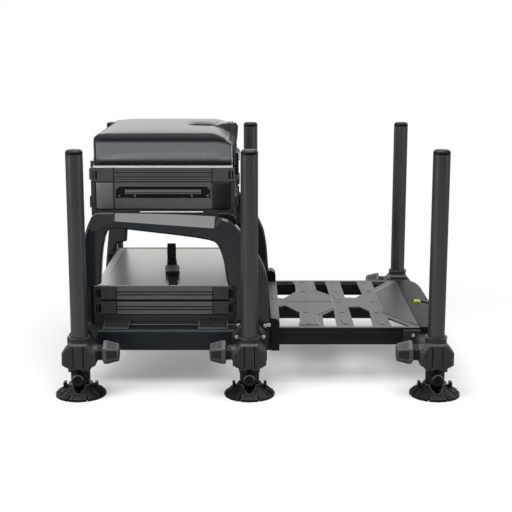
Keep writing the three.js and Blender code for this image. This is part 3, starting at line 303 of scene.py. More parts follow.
@dataclass(frozen=True)
class Finish:
    """A material: its base, its grain and tone, and the wear and dust that it shows.

    Attributes:
        name: the material's name.
        slot: the record's material slot that it stands for; not used.
        colour: its base colour.
        roughness: its middle roughness.
        metallic: how far it is a metal.
        specular: the Principled shader's specular level.
        coat: the weight of a clear coat.
        coat_roughness: the coat's roughness.
        grain_scale: the grain's scale, per metre.
        grain_depth: the grain's height.
        tone_spread: how far the colour changes over the surface.
        worn: the colour that shows where edges are rubbed.
        wear: how much rubbing shows.
        dust: how much dust shows.
        brushed: the way that brushing runs, if any.
    """

    name: str
    slot: str
    colour: Colour
    roughness: float
    metallic: float = 0.0
    specular: float = 0.5
    coat: float = 0.0
    coat_roughness: float = 0.06
    grain_scale: float = 850.0
    grain_depth: float = 0.00004
    tone_spread: float = 0.16
    worn: Colour = (0.2, 0.2, 0.2)
    wear: float = 0.3
    dust: float = 0.06
    brushed: Run | None = None

    def make(self) -> Material:
        """Builds the material.

        Returns:
            The new material.
        """
        material = bpy.data.materials.new(self.name)
        material.use_nodes = True
        sheet = NodeSheet(material.node_tree)
        shader = sheet.tree.nodes["Principled BSDF"]
        sheet.feed(shader, Metallic=self.metallic, Specular_IOR_Level=self.specular)
        sheet.feed(shader, Coat_Weight=self.coat, Coat_Roughness=self.coat_roughness)
        self.fill(sheet, shader)
        return material

    def fill(self, sheet: NodeSheet, shader: Node) -> None:
        """Feeds the shader's colour, roughness and normal."""
        tone, grain = self.tone(sheet)
        sheet.feed(shader, Base_Color=self.aged(sheet, tone))
        sheet.feed(shader, Roughness=self.worn_roughness(sheet, grain))
        sheet.feed(shader, Normal=self.relief(sheet, self.height(sheet)))

    def shades(self, colour: Colour) -> tuple[Colour, Colour]:
        """Gives the darkest and lightest tones of a colour in this finish."""
        dark = tuple(c * (1 - self.tone_spread) for c in colour)
        return dark, tuple(min(1.0, c * (1 + self.tone_spread)) for c in colour)

    def speckle(self, sheet: NodeSheet, output: str) -> NodeSocket:
        """Gives the Shade or Height of the grain."""
        return EFFECTS.place(sheet, "speckle", Scale=self.grain_scale).outputs[output]

    def lines(self, sheet: NodeSheet, output: str) -> NodeSocket:
        """Gives the Streak or Height of the brushing."""
        return EFFECTS.place(sheet, "brushing", **dict(zip("XYZ", self.brushed.value))).outputs[output]

    def tone(self, sheet: NodeSheet) -> tuple[NodeSocket, NodeSocket]:
        """Gives the colour before wear, and the shade that drives roughness."""
        mottle = EFFECTS.place(sheet, "mottle").outputs["Shade"]
        fine = self.lines(sheet, "Streak") if self.brushed else self.speckle(sheet, "Shade")
        share = sheet.calc("ADD", sheet.calc("MULTIPLY", mottle, 0.5), sheet.calc("MULTIPLY", fine, 0.5))
        return sheet.blend(share, *self.shades(self.colour)), fine

    def aged(self, sheet: NodeSheet, tone: NodeSocket) -> NodeSocket:
        """Lays rubbed edges and dust over a colour, and gives the result."""
        rubbed = EFFECTS.place(sheet, "edge_wear", Amount=self.wear).outputs["Mask"]
        dust = EFFECTS.place(sheet, "dust", Amount=self.dust).outputs["Mask"]
        return sheet.blend(dust, sheet.blend(rubbed, tone, self.worn), DUST)

    def worn_roughness(self, sheet: NodeSheet, grain: NodeSocket) -> NodeSocket:
        """Gives the roughness over the surface, as the grain's shade changes it."""
        return sheet.ease(grain, 0.0, 1.0, self.roughness * 0.86, min(1.0, self.roughness * 1.16))

    def height(self, sheet: NodeSheet) -> NodeSocket:
        """Gives the relief of the grain or the brushing, from 0 to 1."""
        return self.lines(sheet, "Height") if self.brushed else self.speckle(sheet, "Height")

    def relief(self, sheet: NodeSheet, height: NodeSocket) -> NodeSocket:
        """Turns a height from 0 to 1 into a normal, at this finish's grain depth."""
        raised = sheet.add("ShaderNodeBump")
        return sheet.feed(raised, Height=height, Distance=self.grain_depth, Strength=1.0).outputs["Normal"]


@dataclass(frozen=True)
class BlockEndedFinish(Finish):
    """Brushed metal between two matt moulded end blocks, as on a drawer's face.

    Attributes:
        block_colour: the end blocks' colour.
        block_roughness: their roughness.
        middle: the X of the face's middle.
        half_span: how far the metal reaches from it.
        face: the Y of the face.
        recess_colour: the near-black painted inside its recess as shade.
    """

    block_colour: Colour = (0.062, 0.063, 0.066)
    block_roughness: float = 0.6
    middle: float = -0.2035
    half_span: float = 0.1055
    face: float = -0.205
    recess_colour: Colour = (0.008, 0.008, 0.009)

    def fill(self, sheet: NodeSheet, shader: Node) -> None:
        """Feeds the shader with the metal and the blocks by place, and with painted shade inside the recess.

        Args:
            sheet: the material's nodes.
            shader: its Principled shader.
        """
        sizes = {"Middle": self.middle, "Half_Span": self.half_span, "Face": self.face}
        places = EFFECTS.place(sheet, "end_blocks", **sizes)
        mask, inside = places.outputs["Mask"], places.outputs["Inside"]
        metal, grain = self.tone(sheet)
        moulded = sheet.blend(self.speckle(sheet, "Shade"), *self.shades(self.block_colour))
        # Inside the recess the metal is painted near-black, as the shade there.
        colour = sheet.blend(inside, sheet.blend(mask, metal, moulded), self.recess_colour)
        rough = sheet.ease(mask, 0.0, 1.0, 0.0, self.block_roughness - self.roughness)
        plain = sheet.calc("MAXIMUM", mask, inside)
        sheet.feed(shader, Base_Color=self.aged(sheet, colour))
        sheet.feed(shader, Roughness=sheet.calc("ADD", self.worn_roughness(sheet, grain), rough))
        sheet.feed(shader, Metallic=sheet.ease(plain, 0.0, 1.0, self.metallic, 0.0))
        sheet.feed(shader, Normal=self.relief(sheet, self.height(sheet)))


@dataclass(frozen=True)
class SillFinish(Finish):
    """Clear-coated lacquer that is worn duller low down, on the sill.

    Attributes:
        sill: the height below which it is duller.
        sill_coat: the clear coat's weight there.
        sill_rougher: how much rougher it is there.
    """

    sill: float = 0.14
    sill_coat: float = 0.06
    sill_rougher: float = 0.25

    def fill(self, sheet: NodeSheet, shader: Node) -> None:
        """Feeds the shader, with the coat and roughness changing below the sill's height."""
        super().fill(sheet, shader)
        mask = EFFECTS.place(sheet, "underside", Height=self.sill).outputs["Mask"]
        rough = self.worn_roughness(sheet, self.speckle(sheet, "Shade"))
        rougher = sheet.calc("MULTIPLY", mask, self.sill_rougher)
        sheet.feed(shader, Roughness=sheet.calc("ADD", rough, rougher))
        sheet.feed(shader, Coat_Weight=sheet.ease(mask, 0.0, 1.0, self.coat, self.sill_coat))


@dataclass(frozen=True)
class PlateFinish(Finish):
    """Satin sheet over frame parts that are one piece with it, painted black below a height as the shade
    under the plate.

    Attributes:
        frame_colour: the black of the frame parts below the sheet, painted as the shade beneath the plate.
        underside: the height below which they show.
    """

    frame_colour: Colour = (0.006, 0.006, 0.007)
    underside: float = 0.1152

    def fill(self, sheet: NodeSheet, shader: Node) -> None:
        """Feeds the shader with the sheet above and the painted shade below."""
        mask = EFFECTS.place(sheet, "underside", Height=self.underside).outputs["Mask"]
        tone, grain = self.tone(sheet)
        sheet.feed(shader, Base_Color=sheet.blend(mask, self.aged(sheet, tone), self.frame_colour))
        sheet.feed(shader, Metallic=sheet.ease(mask, 0.0, 1.0, self.metallic, 0.0))
        sheet.feed(shader, Roughness=self.worn_roughness(sheet, grain))
        sheet.feed(shader, Normal=self.relief(sheet, self.height(sheet)))


@dataclass(frozen=True)
class CoverFinish(Finish):
    """The cushion's covering: a smooth grained top and stippled side panels, with near-black painted shade
    over the rolled edge, the pommel's flanks, the hollow, the front face and the panels' seams.

    Attributes:
        panel_colour: the side panels' colour.
        panel_rougher: how much rougher they are than the top.
        edge_colour: the near-black colour of the painted shade.
        edge_rougher: how much rougher the painted-shade areas are than the top.
        pebble_scale: the scale of the top's pebbled grain, per metre.
        stipple_scale: the scale of the side panels' stipple, per metre.
    """

    panel_colour: Colour = (0.16, 0.176, 0.188)
    panel_rougher: float = 0.2
    edge_colour: Colour = (0.006, 0.006, 0.007)
    edge_rougher: float = 0.25
    pebble_scale: float = 620.0
    stipple_scale: float = 430.0

    def fill(self, sheet: NodeSheet, shader: Node) -> None:
        """Feeds the shader with the top's and the side panels' leather, and with the painted shade over the
        edge, the flanks, the hollow, the front and the seams.

        Args:
            sheet: the material's nodes.
            shader: its Principled shader.
        """
        where = sheet.place()
        marked, rolled = (
            sheet.add("ShaderNodeAttribute", attribute_type="GEOMETRY", attribute_name=name).outputs["Fac"]
            for name in MARKS
        )
        panel = sheet.ease(marked, 0.2, 0.5)
        edge = sheet.ease(rolled, 0.15, 0.85)
        stipple = sheet.ease(sheet.noise(self.stipple_scale, 2.0, where), 0.4, 0.6)
        tone, grain = self.tone(sheet)
        slate = sheet.blend(stipple, *self.shades(self.panel_colour))
        # The panels fade to painted-shade black near their seams and ends; the second mark paints shade over
        # the rolled edge, the flanks, the hollow and the front.
        shaded = sheet.blend(sheet.ease(marked, 0.5, 1.0), self.edge_colour, slate)
        covered = sheet.blend(edge, sheet.blend(panel, tone, shaded), self.edge_colour)
        sheet.feed(shader, Base_Color=self.aged(sheet, covered))
        rougher = sheet.calc("MULTIPLY", panel, self.panel_rougher)
        rougher = sheet.calc("ADD", rougher, sheet.calc("MULTIPLY", edge, self.edge_rougher))
        rough = sheet.calc("ADD", self.worn_roughness(sheet, grain), rougher, clamp=True)
        bare = sheet.calc("MAXIMUM", panel, edge)
        pebble = sheet.add("ShaderNodeTexVoronoi", feature="SMOOTH_F1")
        sheet.feed(pebble, Vector=where, Scale=self.pebble_scale, Smoothness=0.6)
        raised = sheet.between(panel, pebble.outputs["Distance"], stipple)
        sheet.feed(shader, Roughness=rough, Normal=self.relief(sheet, raised))
        sheet.feed(shader, Coat_Weight=sheet.ease(bare, 0.0, 1.0, self.coat, 0.0))


@dataclass(frozen=True)
class WebbingFinish(Finish):
    """Woven strap: ribs across and threads along it.

    Attributes:
        ribs: the scale of the ribs, per metre.
        threads: the scale of the threads, per metre.
    """

    ribs: float = 110.0
    threads: float = 190.0

    def height(self, sheet: NodeSheet) -> NodeSocket:
        """Gives the relief of the weave."""
        where = sheet.place()
        waves = []
        for axis, scale in (("X", self.ribs), ("Y", self.threads)):
            wave = sheet.add("ShaderNodeTexWave", wave_type="BANDS", bands_direction=axis, wave_profile="SIN")
            waves.append(sheet.feed(wave, Vector=where, Scale=scale).outputs["Fac"])
        return sheet.calc("MULTIPLY", *waves)


@dataclass(frozen=True)
class VialFinish(Finish):
    """The level's clear vial with its tinted fluid.

    Attributes:
        clearness: the share of the light that is let through.
        bending: the fluid's index of refraction.
    """

    clearness: float = 0.35
    bending: float = 1.47

    def make(self) -> Material:
        """Builds the material, with part of the light let through."""
        material = super().make()
        shader = material.node_tree.nodes["Principled BSDF"]
        NodeSheet(material.node_tree).feed(shader, Transmission_Weight=self.clearness, IOR=self.bending)
        return material


DUST: Colour = (0.42, 0.41, 0.39)
GREY_RUB: Colour = (0.19, 0.195, 0.2)
# The cushion's marks: its share of the side panels, and its share of painted shade.
MARKS = ("side_panel", "painted_shade_edge")

TUBE = Finish("leg_tube_anodised", "leg_tube", (0.105, 0.107, 0.11), 0.3, metallic=0.75, worn=GREY_RUB,
              brushed=Run.ALONG_Z, tone_spread=0.14, wear=0.25, grain_depth=0.00001)
CASTING = Finish("casting_powder_coat", "casting", (0.036, 0.037, 0.039), 0.42, metallic=0.3, worn=GREY_RUB,
                 grain_scale=1100.0, grain_depth=0.00006, wear=0.6)
KNOB = Finish("knob_moulded", "knob_plastic", (0.075, 0.081, 0.077), 0.45, grain_scale=1000.0, wear=0.5,
              worn=(0.24, 0.25, 0.24))
KNOB_PAD = Finish("knob_grip_pad", "knob_plastic", (0.011, 0.013, 0.0125), 0.5, grain_scale=1000.0, wear=0.4,
                  worn=(0.14, 0.15, 0.145))
BLACK = Finish("black_moulded", "black_plastic", (0.005, 0.005, 0.006), 0.33, specular=0.24, wear=0.3,
               worn=(0.07, 0.07, 0.07), dust=0.012)
FOOT_EDGE = Finish("foot_edge_moulded", "black_plastic", (0.007, 0.0072, 0.0075), 0.34, specular=0.3,
                   wear=0.35, worn=(0.09, 0.09, 0.093), dust=0.012)
MATT = Finish("recess_matt_black", "black_plastic", (0.0035, 0.0035, 0.004), 0.85, specular=0.15, wear=0.0,
              dust=0.0, worn=(0.01, 0.01, 0.01))
# The lacquer's lighter worn edges are partly real rubbing and partly a painted highlight along the arches'
# edges.
LACQUER = SillFinish("arch_lacquer", "arch_gloss", (0.007, 0.011, 0.015), 0.3, specular=0.4, coat=0.9,
                     grain_scale=1500.0, grain_depth=0.000004, tone_spread=0.12, wear=0.3,
                     worn=(0.1, 0.12, 0.13), dust=0.01)
NOSE = Finish("nose_lacquer", "nose_gloss", (0.009, 0.0098, 0.0105), 0.42, specular=0.09, grain_scale=1500.0,
              grain_depth=0.000004, wear=0.3, worn=(0.1, 0.1, 0.1), dust=0.02)
RAIL = Finish("rail_black_anodised", "rail", (0.009, 0.009, 0.01), 0.38, metallic=0.4,
              worn=(0.12, 0.12, 0.12), brushed=Run.ALONG_X, grain_depth=0.00001)
EXTRUSION = BlockEndedFinish("drawer_face", "extrusion", (0.2, 0.204, 0.212), 0.34, metallic=0.75,
                             worn=(0.3, 0.305, 0.31), brushed=Run.ALONG_X, grain_depth=0.00001)
BEAM = Finish("cross_beam_anodised", "extrusion", (0.05, 0.051, 0.054), 0.34, metallic=0.6, worn=GREY_RUB,
              brushed=Run.ALONG_Y, grain_depth=0.00001)
CORNER = Finish("corner_moulded", "corner_plastic", (0.034, 0.035, 0.038), 0.44, grain_scale=950.0, wear=0.4,
                worn=(0.13, 0.13, 0.135))
DECK = Finish("deck_satin_sheet", "deck", (0.57, 0.58, 0.56), 0.32, metallic=0.8, worn=(0.75, 0.75, 0.74),
              grain_scale=1300.0, tone_spread=0.02, grain_depth=0.000003, wear=0.2, dust=0.02)
NOSE_PLATE = Finish("nose_plate_satin", "footplate", (0.058, 0.06, 0.058), 0.4, metallic=0.7,
                    worn=(0.3, 0.3, 0.29), grain_scale=1000.0, grain_depth=0.00003, wear=0.4)
SHEET = PlateFinish("footplate_satin_sheet", "footplate", (0.116, 0.119, 0.115), 0.42, metallic=0.7,
                    worn=(0.5, 0.5, 0.48), grain_scale=1000.0, grain_depth=0.00003, tone_spread=0.1, wear=0.5)
# A pale sheet for the beads along the raised plates' edges, a painted highlight.
EDGE_HIGHLIGHT_SHEET = Finish("footplate_painted_edge_highlight", "footplate", (0.42, 0.42, 0.4), 0.36, metallic=0.7,
                    worn=(0.6, 0.6, 0.58), wear=0.4)
HANDLE = Finish("handle_satin", "handle", (0.28, 0.284, 0.29), 0.34, metallic=0.7, worn=(0.5, 0.5, 0.5),
                brushed=Run.ALONG_X, grain_depth=0.00001)
TRIM = Finish("trim_satin_dark", "handle", (0.13, 0.132, 0.136), 0.3, metallic=0.7, worn=(0.3, 0.3, 0.3),
              wear=0.5)
# Steel with a bright diffuse colour: besides the real steel, this is a painted glint on the screws, studs and
# catch ribs.
STEEL_GLINT = Finish("screw_steel_painted_glint", "handle", (0.8, 0.8, 0.81), 0.22, metallic=0.5, worn=(0.8, 0.8, 0.8),
               tone_spread=0.12, dust=0.02)
BUCKLE = Finish("buckle_grey_moulded", "black_plastic", (0.016, 0.0165, 0.0175), 0.4, wear=0.5,
                worn=(0.14, 0.14, 0.145))
SEAT_EDGE = Finish("seat_edge_pale", "seat_edge", (0.9, 0.91, 0.92), 0.36, tone_spread=0.03, dust=0.0,
                   worn=(0.9, 0.9, 0.9))
# The pale tone of the piping on the front corners and along the front folds is a painted highlight.
PIPING_PAINTED_HIGHLIGHT = Finish("seat_piping_painted_highlight", "cushion", (0.42, 0.43, 0.44), 0.34, coat=0.3, coat_roughness=0.2,
                grain_scale=1400.0, tone_spread=0.1, worn=(0.45, 0.45, 0.46))
COVER = CoverFinish("cushion_cover", "cushion", (0.07, 0.072, 0.073), 0.38, specular=0.2, coat=0.9,
                    coat_roughness=0.33, grain_scale=700.0, grain_depth=0.00006, tone_spread=0.1, wear=0.05,
                    dust=0.006)
PALE_LINE = Finish("line_pale", "deck", (0.8, 0.81, 0.81), 0.45, tone_spread=0.04, wear=0.0, dust=0.0,
                   worn=(0.8, 0.8, 0.8))
# One material in two tones for the drawer's end covers: the lighter tone is painted light, the darker one
# painted shade.
COVER_PAINTED_LIT = Finish("cover_satin_painted_lit", "corner_plastic", (0.14, 0.142, 0.146), 0.28, grain_scale=1100.0,
                     wear=0.4)
COVER_PAINTED_SHADE = Finish("cover_satin_painted_shade", "corner_plastic", (0.006, 0.0062, 0.007), 0.4, grain_scale=1100.0,
                    wear=0.4, worn=(0.1, 0.1, 0.1))
WEBBING = WebbingFinish("strap_webbing", "webbing", (0.006, 0.006, 0.006), 0.8, specular=0.3,
                        grain_depth=0.0005, wear=0.0, dust=0.03)
VIAL = VialFinish("level_vial", "level", (0.6, 0.68, 0.1), 0.12, grain_depth=0.0, dust=0.0, wear=0.0)


class Workshop:
    """Makes meshes, and gives pieces their finishes, bodies and softened edges."""

    def __init__(self) -> None:
        """Starts with no material or shading group made."""
        self.materials: dict[str, Material] = {}
        self.shading: NodeTree | None = None

    def material(self, finish: Finish) -> Material:
        """Gives a finish's material, built once."""
        if finish.name not in self.materials:
            self.materials[finish.name] = finish.make()
        return self.materials[finish.name]

    def shade_tree(self) -> NodeTree:
        """Gives the group that joins split faces and shades them smooth up to a crease angle.

        Returns:
            The geometry group.
        """
        if self.shading:
            return self.shading
        tree = bpy.data.node_groups.new("join_and_shade", "GeometryNodeTree")
        for way in ("INPUT", "OUTPUT"):
            tree.interface.new_socket("Geometry", in_out=way, socket_type="NodeSocketGeometry")
        sheet = NodeSheet(tree)
        given, result = sheet.add("NodeGroupInput"), sheet.add("NodeGroupOutput")
        merged = sheet.add("GeometryNodeMergeByDistance")
        sheet.feed(merged, Geometry=given.outputs[0], Distance=1e-5)
        angle = sheet.add("GeometryNodeInputMeshEdgeAngle").outputs["Unsigned Angle"]
        sharp = sheet.calc("GREATER_THAN", angle, CREASE)
        shaded = sheet.add("GeometryNodeSetMeshNormal", mode="SHARPNESS")
        sheet.feed(shaded, Mesh=merged.outputs[0], Remove_Custom=True)
        sheet.feed(shaded, Edge_Sharpness=sharp, Face_Sharpness=False)
        sheet.feed(result, Geometry=shaded.outputs[0])
        self.shading = tree
        return tree

    def soften(self, piece: Object, width: float = 0.0) -> None:
        """Rounds a piece's edges and smooths its shading, by modifiers.

        Args:
            piece: the piece.
            width: the width of the rounding; none at 0.
        """
        shade = piece.modifiers.new("join_and_shade", "NODES")
        shade.node_group = self.shade_tree()
        if width > 0:
            bevel = piece.modifiers.new("edge_rounding", "BEVEL")
            bevel.width = width
            bevel.segments = 2
            bevel.limit_method = "ANGLE"
            bevel.angle_limit = CREASE
            bevel.harden_normals = True

    def dress(self, node: str, finish: Finish, width: float = 0.0006) -> None:
        """Gives a CAD node its finish and rounded edges."""
        piece = NODES[node]
        piece.material_slots[0].material = self.material(finish)
        self.soften(piece, width)
        log.info("dressed %s in %s", node, finish.name)

    def piece(self, name: str, parts: Sequence[Mesh], finish: Finish, body: str) -> Object:
        """Makes a new piece that rides on a body.

        Args:
            name: the piece's name.
            parts: its meshes, in the row frame, which are used up.
            finish: its finish.
            body: the CAD body that it rides on.

        Returns:
            The new object.
        """
        mesh = self.merged(name, parts)
        made = bpy.data.objects.new(name, mesh)
        bpy.context.scene.collection.objects.link(made)
        mesh.materials.append(self.material(finish))
        self.soften(made)
        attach(made, body)
        log.info("made %s on %s, %d faces", name, body, len(mesh.polygons))
        return made

    @staticmethod
    def merged(name: str, parts: Sequence[Mesh]) -> Mesh:
        """Puts several meshes into one.

        Args:
            name: the new mesh's name.
            parts: the meshes, which are used up.

        Returns:
            The mesh.
        """
        work = bmesh.new()
        for mesh in parts:
            work.from_mesh(mesh)
            bpy.data.meshes.remove(mesh)
        whole = bpy.data.meshes.new(name)
        work.to_mesh(whole)
        work.free()
        return whole

    @staticmethod
    def mesh_of(points: Iterable[Sequence[float]], faces: Iterable[Sequence[int]]) -> Mesh:
        """Makes a mesh with its faces turned outward.

        Args:
            points: its vertices.
            faces: its faces, by vertex number.

        Returns:
            The mesh.
        """
        mesh = bpy.data.meshes.new("part")
        mesh.from_pydata([tuple(p) for p in points], [], [tuple(f) for f in faces])
        work = bmesh.new()
        work.from_mesh(mesh)
        bmesh.ops.recalc_face_normals(work, faces=work.faces)
        work.to_mesh(mesh)
        work.free()
        return mesh

    @classmethod
    def loft(cls, rings: Sequence[Sequence[Point]], looped: bool = False) -> Mesh:
        """Joins rings of the same number of points into one closed skin.

        Args:
            rings: the rings in order.
            looped: whether the last ring joins the first, in place of a cap at each end.

        Returns:
            The mesh.
        """
        count = len(rings[0])
        faces: list[Sequence[int]] = []
        for i in range(len(rings) if looped else len(rings) - 1):
            a, b = i * count, ((i + 1) % len(rings)) * count
            for j in range(count):
                k = (j + 1) % count
                faces.append((a + j, a + k, b + k, b + j))
        if not looped:
            faces.append(range(count))
            faces.append(range((len(rings) - 1) * count, len(rings) * count))
        return cls.mesh_of([p for ring in rings for p in ring], faces)

    @classmethod
    def swept(cls, path: Sequence[Point], radius: float, sides: int = 6, looped: bool = False) -> Mesh:
        """Runs a round cord of one thickness along a path.

        Args:
            path: its centreline.
            radius: its radius.
            sides: how many sides it has.
            looped: whether the path closes on itself.

        Returns:
            The mesh.
        """
        spots = [Vector(p) for p in path]
        rings = []
        normal = UP
        last = len(spots) - 1
        for i, spot in enumerate(spots):
            before = spots[i - 1] if looped or i > 0 else spot
            after = spots[(i + 1) % len(spots)] if looped or i < last else spot
            ahead = (after - before).normalized()
            if abs(ahead.dot(normal)) > 0.98:
                normal = Vector((0, 1, 0))
            across = ahead.cross(normal).normalized()
            normal = across.cross(ahead).normalized()
            turns = turns_of(sides)
            rings.append([spot + radius * (math.cos(t) * across + math.sin(t) * normal) for t in turns])
        return cls.loft(rings, looped)

    @classmethod
    def turned(cls, profile: Outline, start: Vector, axis: Vector, sides: int, closed: bool = True) -> Mesh:
        """Turns a profile of radius and distance about an axis.

        Args:
            profile: the profile's points.
            start: the point that distances run from.
            axis: the way that they run.
            sides: how many sides the turned shape has.
            closed: whether the profile closes on itself, as a ring's does.

        Returns:
            The mesh.
        """
        along = axis.normalized()
        side = along.orthogonal().normalized()
        other = along.cross(side)
        rings = []
        for radius, distance in profile:
            middle = start + along * distance
            round_it = [math.cos(t) * side + math.sin(t) * other for t in turns_of(sides)]
            rings.append([middle + radius * away for away in round_it])
        return cls.loft(rings, closed)

    @classmethod
    def bolt(cls, start: Sequence[float], axis: Vector, radius: float, height: float) -> Mesh:
        """Makes a domed screw head with its socket."""
        shares = (
            (1.0, 0.0), (1.0, 0.55), (0.88, 0.85), (0.62, 1.0), (0.5, 1.0), (0.42, 0.85), (0.42, 0.35),
            (0.1, 0.25),
        )
        profile = tuple((out * radius, up * height) for out, up in shares)
        return cls.turned(profile, Vector(start), axis, 18, closed=False)

    @staticmethod
    def drawn_in(outline: Sequence[Pair], by: float) -> list[Pair]:
        """Draws an outline in by an even width.

        Args:
            outline: the outline's corners.
            by: the width.

        Returns:
            The smaller outline's corners.
        """
        following = [*outline[1:], outline[0]]
        area = sum(a[0] * b[1] - b[0] * a[1] for a, b in zip(outline, following))
        turn = math.copysign(1.0, area)
        result = []
        for before, here, after in zip([outline[-1], *outline[:-1]], outline, following):
            first = Vector((here[0] - before[0], here[1] - before[1])).normalized()
            second = Vector((after[0] - here[0], after[1] - here[1])).normalized()
            inward = Vector((-first.y - second.y, first.x + second.x)) * turn
            inward /= 1 + first.dot(second)
            result.append((here[0] + by * inward.x, here[1] + by * inward.y))
        return result

    @classmethod
    def slab(cls, outline: Sequence[Pair], limits: Pair, axis: str, chamfer: float) -> Mesh:
        """Runs an outline along an axis, with its rims chamfered.

        Args:
            outline: the outline, in the two other axes.
            limits: where it starts and ends along the axis.
            axis: X, Y or Z.
            chamfer: the chamfer's width.

        Returns:
            The mesh.
        """
        low, high = sorted(limits)
        inner = cls.drawn_in(outline, chamfer)
        place = "XYZ".index(axis)
        rings = []
        for edge, at in ((inner, low), (outline, low + chamfer), (outline, high - chamfer), (inner, high)):
            rings.append([(*point[:place], at, *point[place:]) for point in edge])
        return cls.loft(rings)

    @classmethod
    def strip(cls, xs: Pair, face: float, proud: float, zs: Pair) -> Mesh:
        """Makes a thin upright strip let into a face that looks towards -Y."""
        outline = [(xs[0], zs[0]), (xs[1], zs[0]), (xs[1], zs[1]), (xs[0], zs[1])]
        return cls.slab(outline, (face - proud, face - proud + 0.001), "Y", 0.0001)


SHOP = Workshop()


@dataclass
class Studio:
    """The pale floor, the surround, the lamps and the camera.

    Attributes:
        camera_place: where the camera stands.
        camera_pitch: how far it looks down, in degrees.
        focal: its focal length in millimetres.
        sensor: its sensor's width in millimetres.
        shift: its shift, as shares of the frame.
        floor_radius: the floor's radius.
        lit_radius: how far from the middle the floor takes shadows in full.
        lamps: each lamp's name, place, aim, size and power in watts.
    """

    camera_place: Point = (-0.0055, -2.543, 0.767)
    camera_pitch: float = 10.86
    focal: float = 77.34
    sensor: float = 36.0
    shift: Pair = (0.0016, -0.039)
    floor_radius: float = 14.0
    lit_radius: float = 0.6
    lamps: tuple[tuple[str, Point, Point, Pair, float], ...] = (
        ("lamp_overhead", (-0.1, -0.5, 2.3), (-0.05, -0.05, 0.1), (2.3, 2.1), 52.0),
        ("lamp_left", (-2.2, -1.4, 1.3), (0.0, 0.0, 0.25), (0.9, 1.8), 22.0),
        ("lamp_right", (2.3, -1.2, 1.2), (0.0, 0.0, 0.25), (0.7, 1.8), 8.0),
    )

    def stand_camera(self) -> None:
        """Sets the camera at the photograph's viewpoint."""
        data = bpy.data.cameras.new("camera")
        data.lens = self.focal
        data.sensor_width = self.sensor
        data.shift_x, data.shift_y = self.shift
        camera = bpy.data.objects.new("camera", data)
        camera.location = self.camera_place
        camera.rotation_euler = (math.radians(90 - self.camera_pitch), 0, 0)
        bpy.context.scene.collection.objects.link(camera)
        bpy.context.scene.camera = camera

    def lay_floor(self) -> None:
        """Lays the floor: pale, taking soft shadows near the object and plain further out."""
        points = [(x, y, -0.0002) for x, y in oval((0.0, 0.0), (self.floor_radius, self.floor_radius), 64)]
        floor = bpy.data.objects.new("floor", SHOP.mesh_of(points, [range(len(points))]))
        bpy.context.scene.collection.objects.link(floor)
        floor.data.materials.append(self.floor_material())

    def floor_material(self) -> Material:
        """Builds the floor's material.

        Returns:
            The material.
        """
        material = bpy.data.materials.new("floor_pale")
        material.use_nodes = True
        sheet = NodeSheet(material.node_tree)
        sheet.tree.nodes.remove(sheet.tree.nodes["Principled BSDF"])
        length = sheet.add("ShaderNodeVectorMath", (sheet.place(),), operation="LENGTH").outputs["Value"]
        away = sheet.ease(length, self.lit_radius, 1.7 * self.lit_radius)
        tones = ((*[tone] * 3, 1.0) for tone in (0.72, 0.32))
        matt, plain = (sheet.add("ShaderNodeBsdfDiffuse", (tone,)).outputs[0] for tone in tones)
        glow, white = (sheet.feed(sheet.add("ShaderNodeEmission"), Strength=s).outputs[0] for s in (0.2, 1.0))
        near = sheet.add("ShaderNodeAddShader", (matt, glow)).outputs[0]
        seen = sheet.add("ShaderNodeMixShader", (away, near, white)).outputs[0]
        final = sheet.add("ShaderNodeMixShader", (sheet.direct(), plain, seen)).outputs[0]
        sheet.feed(sheet.tree.nodes["Material Output"], Surface=final)
        return material

    def hang_surround(self) -> None:
        """Makes the surround: white behind the object, and soft fill elsewhere."""
        world = bpy.data.worlds.new("studio_surround")
        bpy.context.scene.world = world
        world.use_nodes = True
        sheet = NodeSheet(world.node_tree)
        way = sheet.add("ShaderNodeTexCoord").outputs["Generated"]
        glossy = sheet.ease(sheet.part(way, "Y"), -0.3, 0.3, 0.12, 1.0)
        path = sheet.add("ShaderNodeLightPath")
        fill = sheet.between(path.outputs["Is Glossy Ray"], 0.5, glossy)
        strength = sheet.between(sheet.direct(), fill, 1.0)
        sheet.feed(sheet.tree.nodes["Background"], Strength=strength, Color=(1.0, 1.0, 1.0, 1.0))

    def hang_lamp(self, name: str, place: Point, aim: Point, size: Pair, power: float) -> None:
        """Hangs one soft lamp.

        Args:
            name: the lamp's name.
            place: where it hangs.
            aim: what it points at.
            size: its width and height.
            power: its power in watts.
        """
        data = bpy.data.lights.new(name, "AREA")
        data.shape = "RECTANGLE"
        data.size, data.size_y = size
        data.energy = power
        lamp = bpy.data.objects.new(name, data)
        lamp.location = place
        lamp.rotation_euler = (Vector(aim) - Vector(place)).to_track_quat("-Z", "Y").to_euler()
        bpy.context.scene.collection.objects.link(lamp)

    def build(self) -> None:
        """Sets up everything round the object."""
        bpy.context.scene.view_settings.view_transform = "Standard"
        self.stand_camera()
        self.lay_floor()
        self.hang_surround()
        for lamp in self.lamps:
            self.hang_lamp(*lamp)


